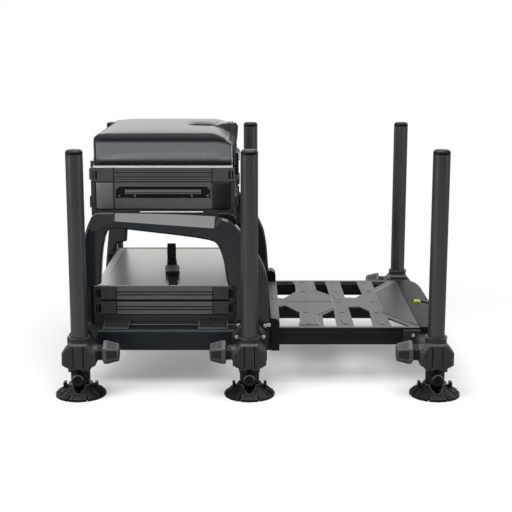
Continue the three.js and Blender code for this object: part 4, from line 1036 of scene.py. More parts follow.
@dataclass
class TelescopicLeg:
    """One leg with its clamp, knob, knuckle and foot, and the trim on them.

    Attributes:
        column: which column it stands in.
        side: which side it stands on.
        row: how far from the middle its axis is.
        collar_top: the height that the collar's ring is set on.
        collar_lip: the ring's profile, as radius and height.
        boss_face: how far the clamp's outer face is from the axis.
        band: the clamp's centre band's half width, bottom and top.
        seam: half the width of the seams beside it.
        slot: the height of the slot under it, and half its length and width.
        set_screw: the set screw's place on the face, its radius and its height.
        knob_height: the height of the clamp screw.
        grip: the knob's two rims, as distance from the leg's axis and radius.
        pad_margin: how far a grip pad stays from its facet's sides.
        pad_lean: the parts of the facets' outward direction along and off the screw.
        pad_lift: how far a pad stands out, and how far its top is drawn in.
        neck: how far the neck's rings are from the leg's axis.
        neck_bead: their profile, as radius and distance.
        lock_height: the height of the knuckle's locking screw.
        lock_rim: the profile of its socket's rim, as radius and distance.
        lock_out: how far from the axis the rim and the pale arc on it, a painted highlight, lie.
        lip: the pale arc's radius and thickness.
        cup_radius: the radius of the foot's cup.
        cup_top: the height of the cup's rim.
        foot_radius: the foot's radius.
        foot_rim: the height of its edge.
        cone_top: the height at which its cone meets the cup.
        mouth: the radius of the notch in the cup.
        petals: the number of ribs on the foot.
        rib_reach: how far from the axis the ribs start, and how far from the edge they end.
    """

    column: Column
    side: Side
    row: float = 0.320
    collar_top: float = 0.1272
    collar_lip: Outline = (
        (0.0187, 0.0), (0.0231, -0.0002), (0.0236, -0.0018), (0.0229, -0.0034), (0.0187, -0.0034),
    )
    boss_face: float = 0.027
    band: Point = (0.0105, 0.0665, 0.1115)
    seam: float = 0.001
    slot: Point = (0.0605, 0.0058, 0.0022)
    set_screw: tuple[float, float, float, float] = (0.0255, 0.0925, 0.0045, 0.003)
    knob_height: float = 0.092
    grip: Outline = ((0.0578, 0.0256), (0.0805, 0.0195))
    pad_margin: float = 0.0024
    pad_lean: Pair = (0.227, 0.974)
    pad_lift: Pair = (0.0006, 0.0008)
    neck: Point = (0.0405, 0.0436, 0.0467)
    neck_bead: Outline = (
        (0.0155, -0.0009), (0.0168, -0.0007), (0.0172, 0.0), (0.0168, 0.0007), (0.0155, 0.0009),
    )
    lock_height: float = 0.043
    lock_rim: Outline = (
        (0.0086, -0.001), (0.0123, -0.001), (0.0124, 0.0002), (0.0117, 0.0006), (0.0098, 0.0006),
        (0.0086, -0.0002),
    )
    lock_out: Pair = (0.0399, 0.0405)
    lip: Pair = (0.0111, 0.0007)
    cup_radius: float = 0.0243
    cup_top: float = 0.026
    foot_radius: float = 0.0535
    foot_rim: float = 0.005
    cone_top: float = 0.022
    mouth: float = 0.013
    petals: int = 16
    rib_reach: Pair = (0.0285, 0.0035)

    @property
    def key(self) -> str:
        """The ending of this leg's node and body names."""
        return f"{self.column.name.lower()}_{self.side.key}"

    @property
    def carrier(self) -> str:
        """The body that holds this leg's clamp."""
        return "footplate" if self.column is Column.FRONT else CHASSIS

    def spot(self, along: float, out: float, up: float) -> Vector:
        """Gives a place by its offset from the leg's axis.

        Args:
            along: how far it is towards the knob.
            out: how far it is outboard.
            up: its height.

        Returns:
            The place in the row frame.
        """
        way = 1 if self.column is Column.REAR else -1
        return Vector((self.column.value + way * along, self.side.value * (self.row + out), up))

    def way(self, along: float, out: float, up: float) -> Vector:
        """Gives a direction, by the same three parts as spot."""
        return self.spot(along, out, up) - self.spot(0, 0, 0)

    def add(self, name: str, parts: Sequence[Mesh], finish: Finish, body: str | None = None) -> None:
        """Makes a piece of this leg, on its clamp's carrier or on the body that body names."""
        carrier = f"{body}_{self.key}" if body else self.carrier
        SHOP.piece(f"{name}_{self.key}", parts, finish, carrier)

    def collar(self) -> None:
        """Rings the collar's mouth and the foot of the tube."""
        start = self.spot(0, 0, self.collar_top)
        self.add("collar_ring", [SHOP.turned(self.collar_lip, start, UP, 40)], CASTING)

    def inlay(self, outline: Sequence[Pair], proud: float) -> Mesh:
        """Lets a flat outline into the clamp's outer face, standing a little proud of it."""
        depths = (self.boss_face - 0.001, self.boss_face + proud)
        return SHOP.loft([[self.spot(x, y, z) for x, z in outline] for y in depths])

    def face(self) -> None:
        """Draws the seams beside the clamp's centre band, its slot and its set screw."""
        half, low, high = self.band
        parts = []
        for edge in (-half, half):
            left, right = edge - self.seam, edge + self.seam
            parts.append(self.inlay([(left, low), (right, low), (right, high), (left, high)], 0.0003))
        height, *slot = self.slot
        parts.append(self.inlay(oval((0.0, height), slot), 0.0004))
        self.add("clamp_seams", parts, MATT)
        along, up, radius, proud = self.set_screw
        start = self.spot(along, self.boss_face - 0.0012, up)
        self.add("set_screw", [SHOP.bolt(start, self.way(0, 1, 0), radius, proud)], BUCKLE)

    def pad(self, points: Sequence[Vector], normal: Vector) -> Mesh:
        """Raises a flat pad with sloped sides from a facet's corners, along its normal."""
        lift, slope = self.pad_lift
        up = normal.normalized()
        middle = sum(points, Vector()) / len(points)
        top = [p + lift * up + slope * (middle - p).normalized() for p in points]
        return SHOP.loft([[p - lift * up for p in points], top])

    def knob(self) -> None:
        """Lays a pad on each of the grip's six facets, and rings its neck."""
        pads = []
        for turn in range(6):
            angle = math.radians(30 + 60 * turn)
            outward = (math.sin(angle), math.cos(angle))
            sideways = (math.cos(angle), -math.sin(angle))
            points = []
            for (along, radius), ways in zip(self.grip, ((-1, 1), (1, -1))):
                middle, half = radius * math.cos(math.radians(30)), radius / 2 - self.pad_margin
                for way in ways:
                    out, up = (middle * o + way * half * s for o, s in zip(outward, sideways))
                    points.append(self.spot(along, out, self.knob_height + up))
            lean, off = self.pad_lean
            pads.append(self.pad(points, self.way(lean, off * outward[0], off * outward[1])))
        self.add("knob_pads", pads, KNOB_PAD, "knob")
        starts = [self.spot(along, 0, self.knob_height) for along in self.neck]
        rings = [SHOP.turned(self.neck_bead, start, self.way(1, 0, 0), 32) for start in starts]
        self.add("knob_neck", rings, BLACK, "knob")

    def lock_screw(self) -> None:
        """Rims the socket of the knuckle's locking screw, with a pale arc over its top that is a painted
        highlight.
        """
        rim_out, highlight_out = self.lock_out
        ring = SHOP.turned(self.lock_rim, self.spot(0, rim_out, self.lock_height), self.way(0, 1, 0), 36)
        self.add("lock_screw_rim", [ring], BLACK, "leg")
        radius, thickness = self.lip
        turns = [math.radians(10 + 10 * step) for step in range(17)]
        places = [(radius * math.cos(t), self.lock_height + radius * math.sin(t)) for t in turns]
        arc = [self.spot(along, highlight_out, up) for along, up in places]
        self.add("lock_screw_lip", [SHOP.swept(arc, thickness)], HANDLE, "leg")

    def cone(self, height: float) -> float:
        """Gives the radius of the foot's cup and cone at a height."""
        if height >= self.cone_top:
            return self.cup_radius
        share = (self.cone_top - height) / (self.cone_top - self.foot_rim)
        return self.cup_radius + share * (self.foot_radius - self.cup_radius)

    def bead(self) -> None:
        """Edges the foot's cup and notch with one pale bead, a painted highlight along their rims."""
        path = []
        start = math.asin(self.mouth / self.cup_radius)
        for step in range(33):
            angle = start + (2 * math.pi - 2 * start) * step / 32
            along, out = self.cup_radius * math.sin(angle), self.cup_radius * math.cos(angle)
            path.append(self.spot(along, out, self.cup_top))
        for step in range(1, 16):
            angle = math.pi + math.pi * step / 16
            along, up = self.mouth * math.cos(angle), self.cup_top + self.mouth * math.sin(angle)
            path.append(self.spot(along, math.sqrt(self.cone(up) ** 2 - along ** 2), up))
        self.add("foot_bead", [SHOP.swept(path, 0.0008, 8, looped=True)], TRIM, "foot")

    def ribs(self) -> None:
        """Ribs the foot's petals."""
        parts = []
        begin, margin = self.rib_reach
        end = self.foot_radius - margin
        for angle in turns_of(self.petals):
            turn = angle + math.pi / self.petals
            line = []
            for step in range(5):
                radius = begin + (end - begin) * step / 4
                share = (self.foot_radius - radius) / (self.foot_radius - self.cup_radius)
                up = self.foot_rim + share * (self.cone_top - self.foot_rim) + 0.0003
                line.append(self.spot(radius * math.sin(turn), radius * math.cos(turn), up))
            parts.append(SHOP.swept(line, 0.0011))
        self.add("foot_ribs", parts, FOOT_EDGE, "foot")

    def build(self) -> None:
        """Dresses the leg."""
        dresses = (
            ("leg_tube", TUBE, 0.0003), ("leg_cap", BLACK, 0.0008), ("leg_boss", CASTING, 0.0009),
            ("lock_knob", KNOB, 0.0012), ("foot_knuckle", BLACK, 0.0006), ("mud_foot", BLACK, 0.0008),
        )
        for node, finish, width in dresses:
            SHOP.dress(f"{node}_{self.key}", finish, width)
        self.collar()
        self.face()
        self.knob()
        self.lock_screw()
        self.bead()
        self.ribs()


@dataclass
class ArchFrame:
    """The two lacquered arches with their corner mouldings and bolts, and the beams between them.

    Attributes:
        rounding: the width of the arches' rounded edges.
        inner: how far the arches' inner faces are from the middle.
        outer: how far their outer faces are.
        moulding: the corner moulding's outline, as X and Z.
        moulding_reach: how far it starts out of the inner face and stands out of the outer one.
        block: the outline of the block under the seat unit's front, as X and Z.
        block_reach: the same for the block.
        arch_bolts: the bolts on the arch over each middle clamp, as X and Z.
        arm_bolts: the bolts on each middle clamp's arm, as X and Z.
        arm_end: how far from the middle those arms end.
        bolt_radii: the radii of the two kinds of bolt.
        bolt_height: how far they stand out.
        beams: each cross beam's rear and front edge.
        beam_lip: the lowest part of the beams' sloping ends, as distance from the middle and height.
        beam_rise: the same for their highest part.
    """

    rounding: float = 0.0022
    inner: float = 0.2275
    outer: float = 0.252
    moulding: Outline = (
        (-0.3605, 0.349), (-0.352, 0.3685), (-0.345, 0.374), (-0.336, 0.3763), (-0.305, 0.3763),
        (-0.3035, 0.3745), (-0.3035, 0.3555), (-0.322, 0.349), (-0.333, 0.341), (-0.342, 0.336),
        (-0.353, 0.338),
    )
    moulding_reach: Pair = (0.009, 0.0022)
    block: Outline = (
        (-0.086, 0.3742), (-0.062, 0.3742), (-0.052, 0.37), (-0.046, 0.362), (-0.046, 0.35), (-0.06, 0.345),
        (-0.086, 0.352),
    )
    block_reach: Pair = (0.003, -0.013)
    arch_bolts: Outline = ((-0.041, 0.1315), (0.016, 0.131), (0.024, 0.1325))
    arm_bolts: Outline = ((-0.0445, 0.1185), (0.0115, 0.1185))
    arm_end: float = 0.297
    bolt_radii: Pair = (0.0044, 0.0042)
    bolt_height: float = 0.004
    beams: Outline = ((-0.3335, -0.2795), (-0.1275, -0.0655))
    beam_lip: Pair = (0.2478, 0.1238)
    beam_rise: Pair = (0.2165, 0.1322)

    def mouldings(self) -> None:
        """Caps each arch's rear top corner with a satin moulding, and blocks up its front one."""
        shapes = (
            ("corner_moulding", self.moulding, self.moulding_reach, CORNER),
            ("front_block", self.block, self.block_reach, BLACK),
        )
        for side in Side:
            for name, outline, (inside, outside), finish in shapes:
                limits = (side.value * (self.inner + inside), side.value * (self.outer + outside))
                SHOP.piece(f"{name}_{side.key}", [SHOP.slab(outline, limits, "Y", 0.0014)], finish, CHASSIS)

    def bolts(self) -> None:
        """Sets the bolts about the middle clamps."""
        kinds = zip((self.arch_bolts, self.arm_bolts), (self.outer, self.arm_end), self.bolt_radii)
        rows = [(x, face - 0.001, z, radius) for places, face, radius in kinds for x, z in places]
        for side in Side:
            parts = [SHOP.bolt((x, side.value * y, z), side.outward, radius, self.bolt_height)
                     for x, y, z, radius in rows]
            SHOP.piece(f"clamp_bolts_{side.key}", parts, STEEL_GLINT, CHASSIS)

    def beam_edges(self) -> None:
        """Runs a pale cord round each cross beam's two sloping ends, a painted highlight along their edges.
        """
        (lip, foot), (rise, head) = self.beam_lip, self.beam_rise
        parts = []
        for low, high in self.beams:
            for way in (-1, 1):
                path = [(low, way * rise, head), (low, way * lip, foot), (high, way * lip, foot),
                        (high, way * rise, head)]
                parts.append(SHOP.swept(path, 0.0012))
        SHOP.piece("beam_edges", parts, HANDLE, CHASSIS)

    def build(self) -> None:
        """Dresses the arches, beams and sockets."""
        for side in Side:
            SHOP.dress(f"side_arch_{side.key}", LACQUER, self.rounding)
            SHOP.dress(f"rail_socket_{side.key}", BLACK, 0.0014)
        for end in ("rear", "front"):
            SHOP.dress(f"cross_beam_{end}", BEAM, 0.0005)
        self.mouldings()
        self.bolts()
        self.beam_edges()


@dataclass
class DrawerUnits:
    """The lower unit with its drawers and deck, and the upper unit with its drawer and tray.

    Attributes:
        middle: the X of the units' middle.
        face: the Y of the drawers' faces.
        block_joint: how far the end blocks' joints are from the middle.
        half_drawer: half the upper drawer's width.
        half_case: half the width of the case's front.
        drawer_low: the height of the upper drawer's underside.
        drawer_high: the height of its top.
        lower_drawers: each lower drawer's body with its lowest and highest height.
        lower_grooves: how far the grooves on their faces are above their undersides.
        cover_bulge: how far the end blocks' covers bulge.
        recess: the recess's half width, bottom, top and corner.
        studs: how far the studs in the recess are from the middle.
        stud_height: their height.
        handle_line: the line over the pull, as its X limits and its heights.
        deck_top: the height of the deck.
        deck_reach: how far the deck reaches each way along Y.
        deck_lines: how far the lines along the deck's sides are from the middle.
        case_bead: the pale line under the upper unit, a painted reflection, as its X limits and its height.
        case_lines: the heights of the lines above and below the upper drawer.
        tray_grooves: the heights of the tray's two grooves.
        tray_lines: the heights of the tray's fine lines.
        tray_joint: the lowest and highest height of the joints beside them.
        inserts: the lowest height of each of the corners' inserts.
        insert_height: how high they are.
        insert_bars: how far the two bars that are set back in an insert are from the middle.
        insert_proud: the same for the bar that stands proud, and its width low and high up.
        clip: the outline of the clips at the rear, as X and Z.
        clip_reach: how far from the middle they start and end.
    """

    middle: float = -0.2035
    face: float = -0.205
    block_joint: float = 0.1055
    half_drawer: float = 0.145
    half_case: float = 0.1545
    drawer_low: float = 0.377
    drawer_high: float = 0.436
    lower_drawers: tuple[tuple[str, float, float], ...] = (
        ("lower_drawer_bottom", 0.1425, 0.1725), ("lower_drawer_top", 0.1755, 0.2055),
    )
    lower_grooves: Pair = (0.0106, 0.017)
    cover_bulge: float = 0.0038
    recess: tuple[float, float, float, float] = (0.1015, 0.401, 0.427, 0.008)
    studs: Pair = (0.096, 0.0615)
    stud_height: float = 0.4052
    handle_line: tuple[Pair, Pair] = ((-0.2835, -0.1235), (0.4128, 0.414))
    deck_top: float = 0.2093
    deck_reach: float = 0.2035
    deck_lines: Pair = (0.1365, 0.1425)
    case_bead: Point = (-0.254, -0.118, 0.3712)
    case_lines: Outline = ((0.4362, 0.4376), (0.3636, 0.3648))
    tray_grooves: Pair = (0.4458, 0.4548)
    tray_lines: Point = (0.4415, 0.4512, 0.4603)
    tray_joint: Pair = (0.4368, 0.4665)
    inserts: Point = (0.1485, 0.1815, 0.4428)
    insert_height: float = 0.018
    insert_bars: Pair = (0.1495, 0.1435)
    insert_proud: Point = (0.1428, 0.0062, 0.0042)
    clip: Outline = (
        (-0.374, 0.112), (-0.342, 0.112), (-0.342, 0.1278), (-0.3582, 0.1278), (-0.3582, 0.2075),
        (-0.37, 0.2075), (-0.374, 0.2), (-0.371, 0.18), (-0.371, 0.17), (-0.374, 0.16),
    )
    clip_reach: Pair = (0.15, 0.2035)

    def end_covers(self) -> None:
        """Covers the upper drawer's end blocks with slightly bulged mouldings of one material, the rear one
        lighter as painted light and the front one darker as painted shade.
        """
        start, end = self.block_joint + 0.0016, self.half_drawer - 0.0018
        low, high = self.drawer_low + 0.002, self.drawer_high - 0.0016
        back = self.face + 0.001
        # The rear cover takes the painted-light tone and the front cover the painted-shade tone.
        for way, key, finish in ((-1, "rear", COVER_PAINTED_LIT), (1, "front", COVER_PAINTED_SHADE)):
            rings = []
            for step in range(13):
                share = step / 12
                x = self.middle + way * (start + (end - start) * share)
                front = self.face - 0.0004 - self.cover_bulge * math.sin(math.pi * share)
                profile = (
                    (back, low), (front + 0.0004, low), (front, low + 0.001), (front, high - 0.001),
                    (front + 0.0004, high), (back, high),
                )
                rings.append([(x, y, z) for y, z in profile])
            SHOP.piece(f"drawer_cover_{key}", [SHOP.loft(rings)], finish, "upper_drawer")

    def recess_trim(self) -> None:
        """Rims the pull's recess, and sets the four studs in it and the bead beside it."""
        half, low, high, corner = self.recess
        y = self.face - 0.0002
        rim = ((-half, low + 0.003), (-half, high - corner), (corner - half, high), (half - corner, high),
               (half, high - corner), (half, low + 0.003))
        lip = ((0.004 - half, low), (half - 0.004, low))
        bead = ((self.block_joint, self.drawer_low + 0.002), (self.block_joint, self.drawer_high - 0.002))
        parts = [SHOP.swept([(self.middle + x, y, z) for x, z in path], radius)
                 for path, radius in ((rim, 0.00055), (lip, 0.0004), (bead, 0.0006))]
        SHOP.piece("recess_trim", parts, TRIM, "upper_drawer")
        studs = [SHOP.bolt((self.middle + way * x, self.face + 0.0105, self.stud_height), Side.NEAR.outward,
                           0.0021, 0.0016) for way in (-1, 1) for x in self.studs]
        SHOP.piece("recess_studs", studs, STEEL_GLINT, "upper_drawer")

    def deck_trim(self) -> None:
        """Draws the bright lines along the deck's sides, its far seam, and the pale line under the upper unit
        that is a painted reflection.
        """
        places = [self.middle + way * offset for way in (-1, 1) for offset in self.deck_lines]
        parts = [SHOP.swept([(x, way * self.deck_reach, self.deck_top) for way in (-1, 1)], 0.0009)
                 for x in places]
        SHOP.piece("deck_lines", parts, PALE_LINE, CHASSIS)
        seam = [(self.middle + way * self.half_drawer, self.deck_reach - 0.002, self.deck_top + 0.0003)
                for way in (-1, 1)]
        SHOP.piece("deck_far_seam", [SHOP.swept(seam, 0.0011)], MATT, CHASSIS)
        # A pale line under the upper unit, painted as the reflection along the case's lower edge.
        rear, front, height = self.case_bead
        bead = [(x, self.face - 0.0003, height) for x in (rear, front)]
        SHOP.piece("case_bead", [SHOP.swept(bead, 0.0014, 8)], PALE_LINE, CHASSIS)

    def across(self, half: float, zs: Pair, proud: float = 0.0003) -> Mesh:
        """Makes a level black line over the units' middle."""
        return SHOP.strip((self.middle - half, self.middle + half), self.face, proud, zs)

    def upright(self, offset: float, zs: Pair, width: float = 0.0018, proud: float = 0.0003) -> Mesh:
        """Makes an upright black line at an offset from the units' middle."""
        x = self.middle + offset
        return SHOP.strip((x - width / 2, x + width / 2), self.face, proud, zs)

    def uprights(self, offset: float, zs: Pair, width: float = 0.0018, proud: float = 0.0003) -> list[Mesh]:
        """Makes the same upright line on both sides of the middle."""
        return [self.upright(way * offset, zs, width, proud) for way in (-1, 1)]

    def drawer_seams(self) -> None:
        """Draws the joints, grooves and outlines of the drawers' faces as black lines."""
        joint = self.block_joint - 0.0002
        for body, low, high in self.lower_drawers:
            parts = self.uprights(joint, (low, high))
            grooves = [low + rise for rise in self.lower_grooves]
            parts += [self.across(joint, (z, z + 0.0024), -0.0002) for z in grooves]
            parts.append(self.across(self.half_drawer - 0.0045, (low, low + 0.0016)))
            SHOP.piece(f"seams_{body}", parts, MATT, body)
        zs = (self.drawer_low, self.drawer_high)
        parts = self.uprights(self.half_drawer - 0.0008, zs, 0.0016) + self.uprights(joint, zs)
        parts.append(self.across(self.half_drawer, (self.drawer_low, self.drawer_low + 0.0016)))
        SHOP.piece("seams_upper_drawer", parts, MATT, "upper_drawer")
        xs, zs = self.handle_line
        SHOP.piece("handle_line", [SHOP.strip(xs, self.face + 0.002, 0.0002, zs)], MATT, "upper_drawer")

    def case_seams(self) -> None:
        """Draws the tray's grooves and joints, the line under it, and the black inserts at the corners."""
        parts = [self.across(self.half_case, zs) for zs in self.case_lines]
        parts += [self.across(self.block_joint, (z, z + 0.0024), -0.0002) for z in self.tray_grooves]
        parts += [self.across(self.block_joint, (z, z + 0.001), 0.0001) for z in self.tray_lines]
        parts += self.uprights(self.block_joint, self.tray_joint)
        offset, wide, narrow = self.insert_proud
        for low in self.inserts:
            zs = (low, low + self.insert_height)
            for bar in self.insert_bars:
                parts += self.uprights(bar, zs, 0.003, -0.0003)
            parts += self.uprights(offset, zs, wide if low < self.deck_top else narrow, 0.0002)
        SHOP.piece("case_seams", parts, MATT, CHASSIS)

    def rear_clips(self) -> None:
        """Makes the lower unit's black clips between its rear end and the arches."""
        reaches = [tuple(side.value * y for y in self.clip_reach) for side in Side]
        clips = [SHOP.slab(self.clip, reach, "Y", 0.0012) for reach in reaches]
        SHOP.piece("rear_clips", clips, BLACK, CHASSIS)

    def build(self) -> None:
        """Dresses both units."""
        dresses = (
            ("lower_case", CORNER, 0.0006), ("drawer_case", CORNER, 0.0006), ("top_tray", EXTRUSION, 0.0004),
            ("lower_drawer_bottom", EXTRUSION, 0.0004), ("lower_drawer_top", EXTRUSION, 0.0004),
            ("upper_drawer", EXTRUSION, 0.0004), ("drawer_handle", HANDLE, 0.001),
            ("deck_plate", DECK, 0.0005),
        )
        for node, finish, width in dresses:
            SHOP.dress(node, finish, width)
        self.end_covers()
        self.recess_trim()
        self.deck_trim()
        self.drawer_seams()
        self.case_seams()
        self.rear_clips()


@dataclass
class DeckStrap:
    """The webbing over the deck, with its buckles and its free tail standing up.

    Attributes:
        middle: the X of the strap's middle where Y is 0.
        lean: how far its middle moves along X for each metre of Y.
        width: its width.
        thickness: its thickness.
        deck: the height of the deck's top.
        half_run: how far it runs each way along Y.
        steps: how many lengths it is laid in.
        tail: the free tail's centreline, as Y and height above the strap.
        lock_ends: the Y of the ladder lock's two ends.
        lock_height: how thick the lock is.
        lock_bars: the Y of its bars.
        bar_radius: their radius.
    """

    middle: float = -0.2022
    lean: float = -0.0866
    width: float = 0.0205
    thickness: float = 0.0018
    deck: float = 0.2093
    half_run: float = 0.2045
    steps: int = 40
    tail: Outline = (
        (0.006, 0.0), (0.016, 0.0004), (0.027, 0.003), (0.0335, 0.01), (0.0355, 0.02), (0.036, 0.03),
        (0.0375, 0.0365), (0.041, 0.0395), (0.0455, 0.038), (0.048, 0.033), (0.0475, 0.026), (0.0455, 0.02),
        (0.0445, 0.014),
    )
    lock_ends: Pair = (-0.047, 0.03)
    lock_height: float = 0.0062
    lock_bars: Point = (-0.035, -0.017, 0.018)
    bar_radius: float = 0.0019

    def ribbon(self, path: Sequence[Pair], thickness: float) -> Mesh:
        """Runs the flat strap along a path in Y and Z.

        Args:
            path: its centreline, as Y and Z.
            thickness: its thickness.

        Returns:
            The mesh.
        """
        rings = []
        edge, inner = Vector((self.width / 2, 0, 0)), Vector((self.width / 2 - thickness * 0.4, 0, 0))
        for i, (y, z) in enumerate(path):
            y0, z0 = path[max(0, i - 1)]
            y1, z1 = path[min(len(path) - 1, i + 1)]
            ahead = Vector((0, y1 - y0, z1 - z0)).normalized()
            out = Vector((0, -ahead.z, ahead.y)) * thickness / 2
            spot = Vector((self.middle + self.lean * y, y, z))
            slim = out * 0.35
            rings.append([
                spot - inner - out, spot + inner - out, spot + edge - slim, spot + edge + slim,
                spot + inner + out, spot - inner + out, spot - edge + slim, spot - edge - slim,
            ])
        return SHOP.loft(rings)

    def lay_strap(self) -> None:
        """Lays the webbing flat on the deck, with a slight rise over the middle."""
        path = []
        for i in range(self.steps + 1):
            y = -self.half_run + 2 * self.half_run * i / self.steps
            rise = 0.0003 * math.sin(math.pi * i / self.steps) + 0.0003
            path.append((y, self.deck + rise + self.thickness / 2))
        strap = SHOP.piece("deck_webbing", [self.ribbon(path, self.thickness)], WEBBING, CHASSIS)
        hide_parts("deck_strap")

    def stand_tail(self) -> None:
        """Stands the free tail up in the loop that it springs into."""
        path = [(y, self.deck + 2 * self.thickness + up) for y, up in self.tail]
        SHOP.piece("strap_tail", [self.ribbon(path, self.thickness * 1.5)], WEBBING, CHASSIS)

    def lock(self) -> None:
        """Makes the ladder lock that the tail comes out of, with its bars."""
        start, end = self.lock_ends
        low = self.deck + 2 * self.thickness
        half = self.width / 2 + 0.0015
        edge = ((0.003 - half, start), (half - 0.003, start), (half, start + 0.004), (half, end - 0.004),
                (half - 0.003, end), (0.003 - half, end), (-half, end - 0.004), (-half, start + 0.004))
        outline = [(self.middle + self.lean * y + x, y) for x, y in edge]
        parts = [SHOP.slab(outline, (low, low + self.lock_height), "Z", 0.0012)]
        for y in self.lock_bars:
            middle = self.middle + self.lean * y
            bar = [(middle + way * (half - 0.001), y, low + self.lock_height + 0.0004) for way in (-1, 1)]
            parts.append(SHOP.swept(bar, self.bar_radius, 10))
        SHOP.piece("ladder_lock", parts, BLACK, CHASSIS)

    def build(self) -> None:
        """Makes the strap and dresses its buckle."""
        self.lay_strap()
        self.stand_tail()
        self.lock()
        SHOP.dress("strap_buckle", BUCKLE, 0.0015)


@dataclass
class SeatPad:
    """The padded seat: its pale base edge, its swollen cushion and its seams.

    Attributes:
        rear: the X of the cushion's rear.
        front: the X of its front.
        half_width: half its width.
        base: the height of its underside.
        height: its height at the sides.
        edge: the radius of its rolled edge.
        corner: the radius of its corners in plan.
        crown: how far the top swells.
        thigh_start: how far along, from -1 to 1, the front starts to fall for the thighs.
        thigh_drop: how far the front corners fall.
        flank_back: where across the pommel's flank starts and ends, as far back as it goes.
        flank_front: the same at the front.
        pommel: how far the middle of the front stands out.
        tip: how far it rises.
        scoop: the hollow's depth, length, width and distance from the front.
        columns: how many faces run along it.
        rows: how many run across it.
        levels: how many faces go up its side and over the rolled edge.
        seam_low: the ring of the side panels' lower seam.
        seam_high: the ring of their upper seam.
        stitch_depths: how far the stitching draws those two rings in.
        pressure: the cloth's pressure.
        cap: how far a point may swell.
        fill: how full the pad is.
        cord: the radius of the piping.
        ridge: how far along the folds in front start, and how long they are.
        welt: the welt's X at the front and the rear, its half width, corner and height.
        welt_radius: its radius.
        catch_ribs: the X of the catch's ribs, and the Y of their ends.
        catch_heights: their heights.
    """

    rear: float = -0.3545
    front: float = -0.0495
    half_width: float = 0.2022
    base: float = 0.4726
    height: float = 0.0645
    edge: float = 0.013
    corner: float = 0.016
    crown: float = 0.006
    thigh_start: float = 0.72
    thigh_drop: float = 0.0135
    flank_back: Pair = (0.2, 0.42)
    flank_front: Pair = (0.02, 0.25)
    pommel: float = 0.0085
    tip: float = 0.0105
    scoop: tuple[float, float, float, float] = (0.019, 0.088, 0.12, 0.064)
    columns: int = 56
    rows: int = 64
    levels: int = 20
    seam_low: int = 2
    seam_high: int = 13
    stitch_depths: Pair = (0.0011, 0.0009)
    pressure: float = 4.0
    cap: float = 0.0018
    fill: float = 0.85
    cord: float = 0.0011
    ridge: Pair = (0.76, 0.225)
    welt: tuple[float, ...] = (-0.056, -0.3524, 0.203, 0.006, 0.4734)
    welt_radius: float = 0.0017
    catch_ribs: Point = (-0.0412, -0.191, -0.153)
    catch_heights: Point = (0.484, 0.489, 0.494)

    def level(self, step: int) -> Pair:
        """Gives a ring's height and inset as it goes up the side and over the rolled edge.

        Args:
            step: the ring's number, from 0 at the foot.

        Returns:
            The share of the height, and the inset.
        """
        straight = 1 - self.edge / self.height
        if step <= self.seam_high:
            share = step / self.seam_high
            return straight * share, 0.0015 * max(0.0, 1 - share / 0.3) ** 2
        angle = math.pi / 2 * (step - self.seam_high) / (self.levels - self.seam_high)
        return straight + (1 - straight) * math.sin(angle), self.edge * (1 - math.cos(angle))

    def forward(self, u: float) -> float:
        """Gives how far a place is into the front that falls for the thighs."""
        return max(0.0, (u - self.thigh_start) / (1 - self.thigh_start))

    def fold(self, u: float) -> Pair:
        """Gives where across the seat the pommel's flank starts and ends."""
        share = self.forward(u)
        return tuple(back + share * (front - back) for back, front in zip(self.flank_back, self.flank_front))

    def flank(self, u: float, v: float) -> float:
        """Gives how far a place is down the pommel's flank, from 0 to 1."""
        start, end = self.fold(u)
        return smooth((abs(v) - start) / (end - start))

    def hollow(self, u: float, v: float) -> float:
        """Gives how deep a place on the top is in its hollow, from 0 to 1."""
        length, width, inboard = self.scoop[1:]
        half_length = (self.front - self.rear) / 2 - self.edge
        ahead = (u * half_length - half_length + inboard) / (length / 2)
        return bump(ahead) * bump(v * (self.half_width - self.edge) / (width / 2))

    def marks(self, u: float, v: float, step: int) -> Pair:
        """Gives how far a place belongs to the side panels and to the painted shade: the black over the
        rolled edge, the pommel's flanks, the hollow, the front face and the foot.

        Args:
            u: how far along, from -1 to 1.
            v: how far across, from -1 to 1.
            step: the ring's number.

        Returns:
            The two shares.
        """
        flank = self.flank(u, v)
        # Painted shade on the pommel's flanks near the front, on the rolled rim and in the hollow.
        dark = min(1.0, 4 * self.forward(u)) * min(1.0, 10 * flank * (1 - flank))
        to_front = smooth((u - 0.84) / 0.1)
        if step >= self.levels:
            rim = smooth((abs(v) - 0.93) / 0.06) * (1 - to_front)
            return 0.0, max(dark, rim, smooth((self.hollow(u, v) - 0.12) / 0.25))
        # Painted shade over the front face, and over the bands above and below the side panels.
        if u > 0.995 and abs(v) < 0.95:
            return 0.0, 1.0
        if not self.seam_low <= step <= self.seam_high:
            return 0.0, 1.0 - to_front if step > self.seam_high else 1.0
        share = (step - self.seam_low) / (self.seam_high - self.seam_low)
        ends = min(1.0, 0.3 + 10 * (1 - abs(u)))
        return 0.62 + 0.38 * ends * min(1.0, 2 * math.sin(math.pi * share)), 0.0

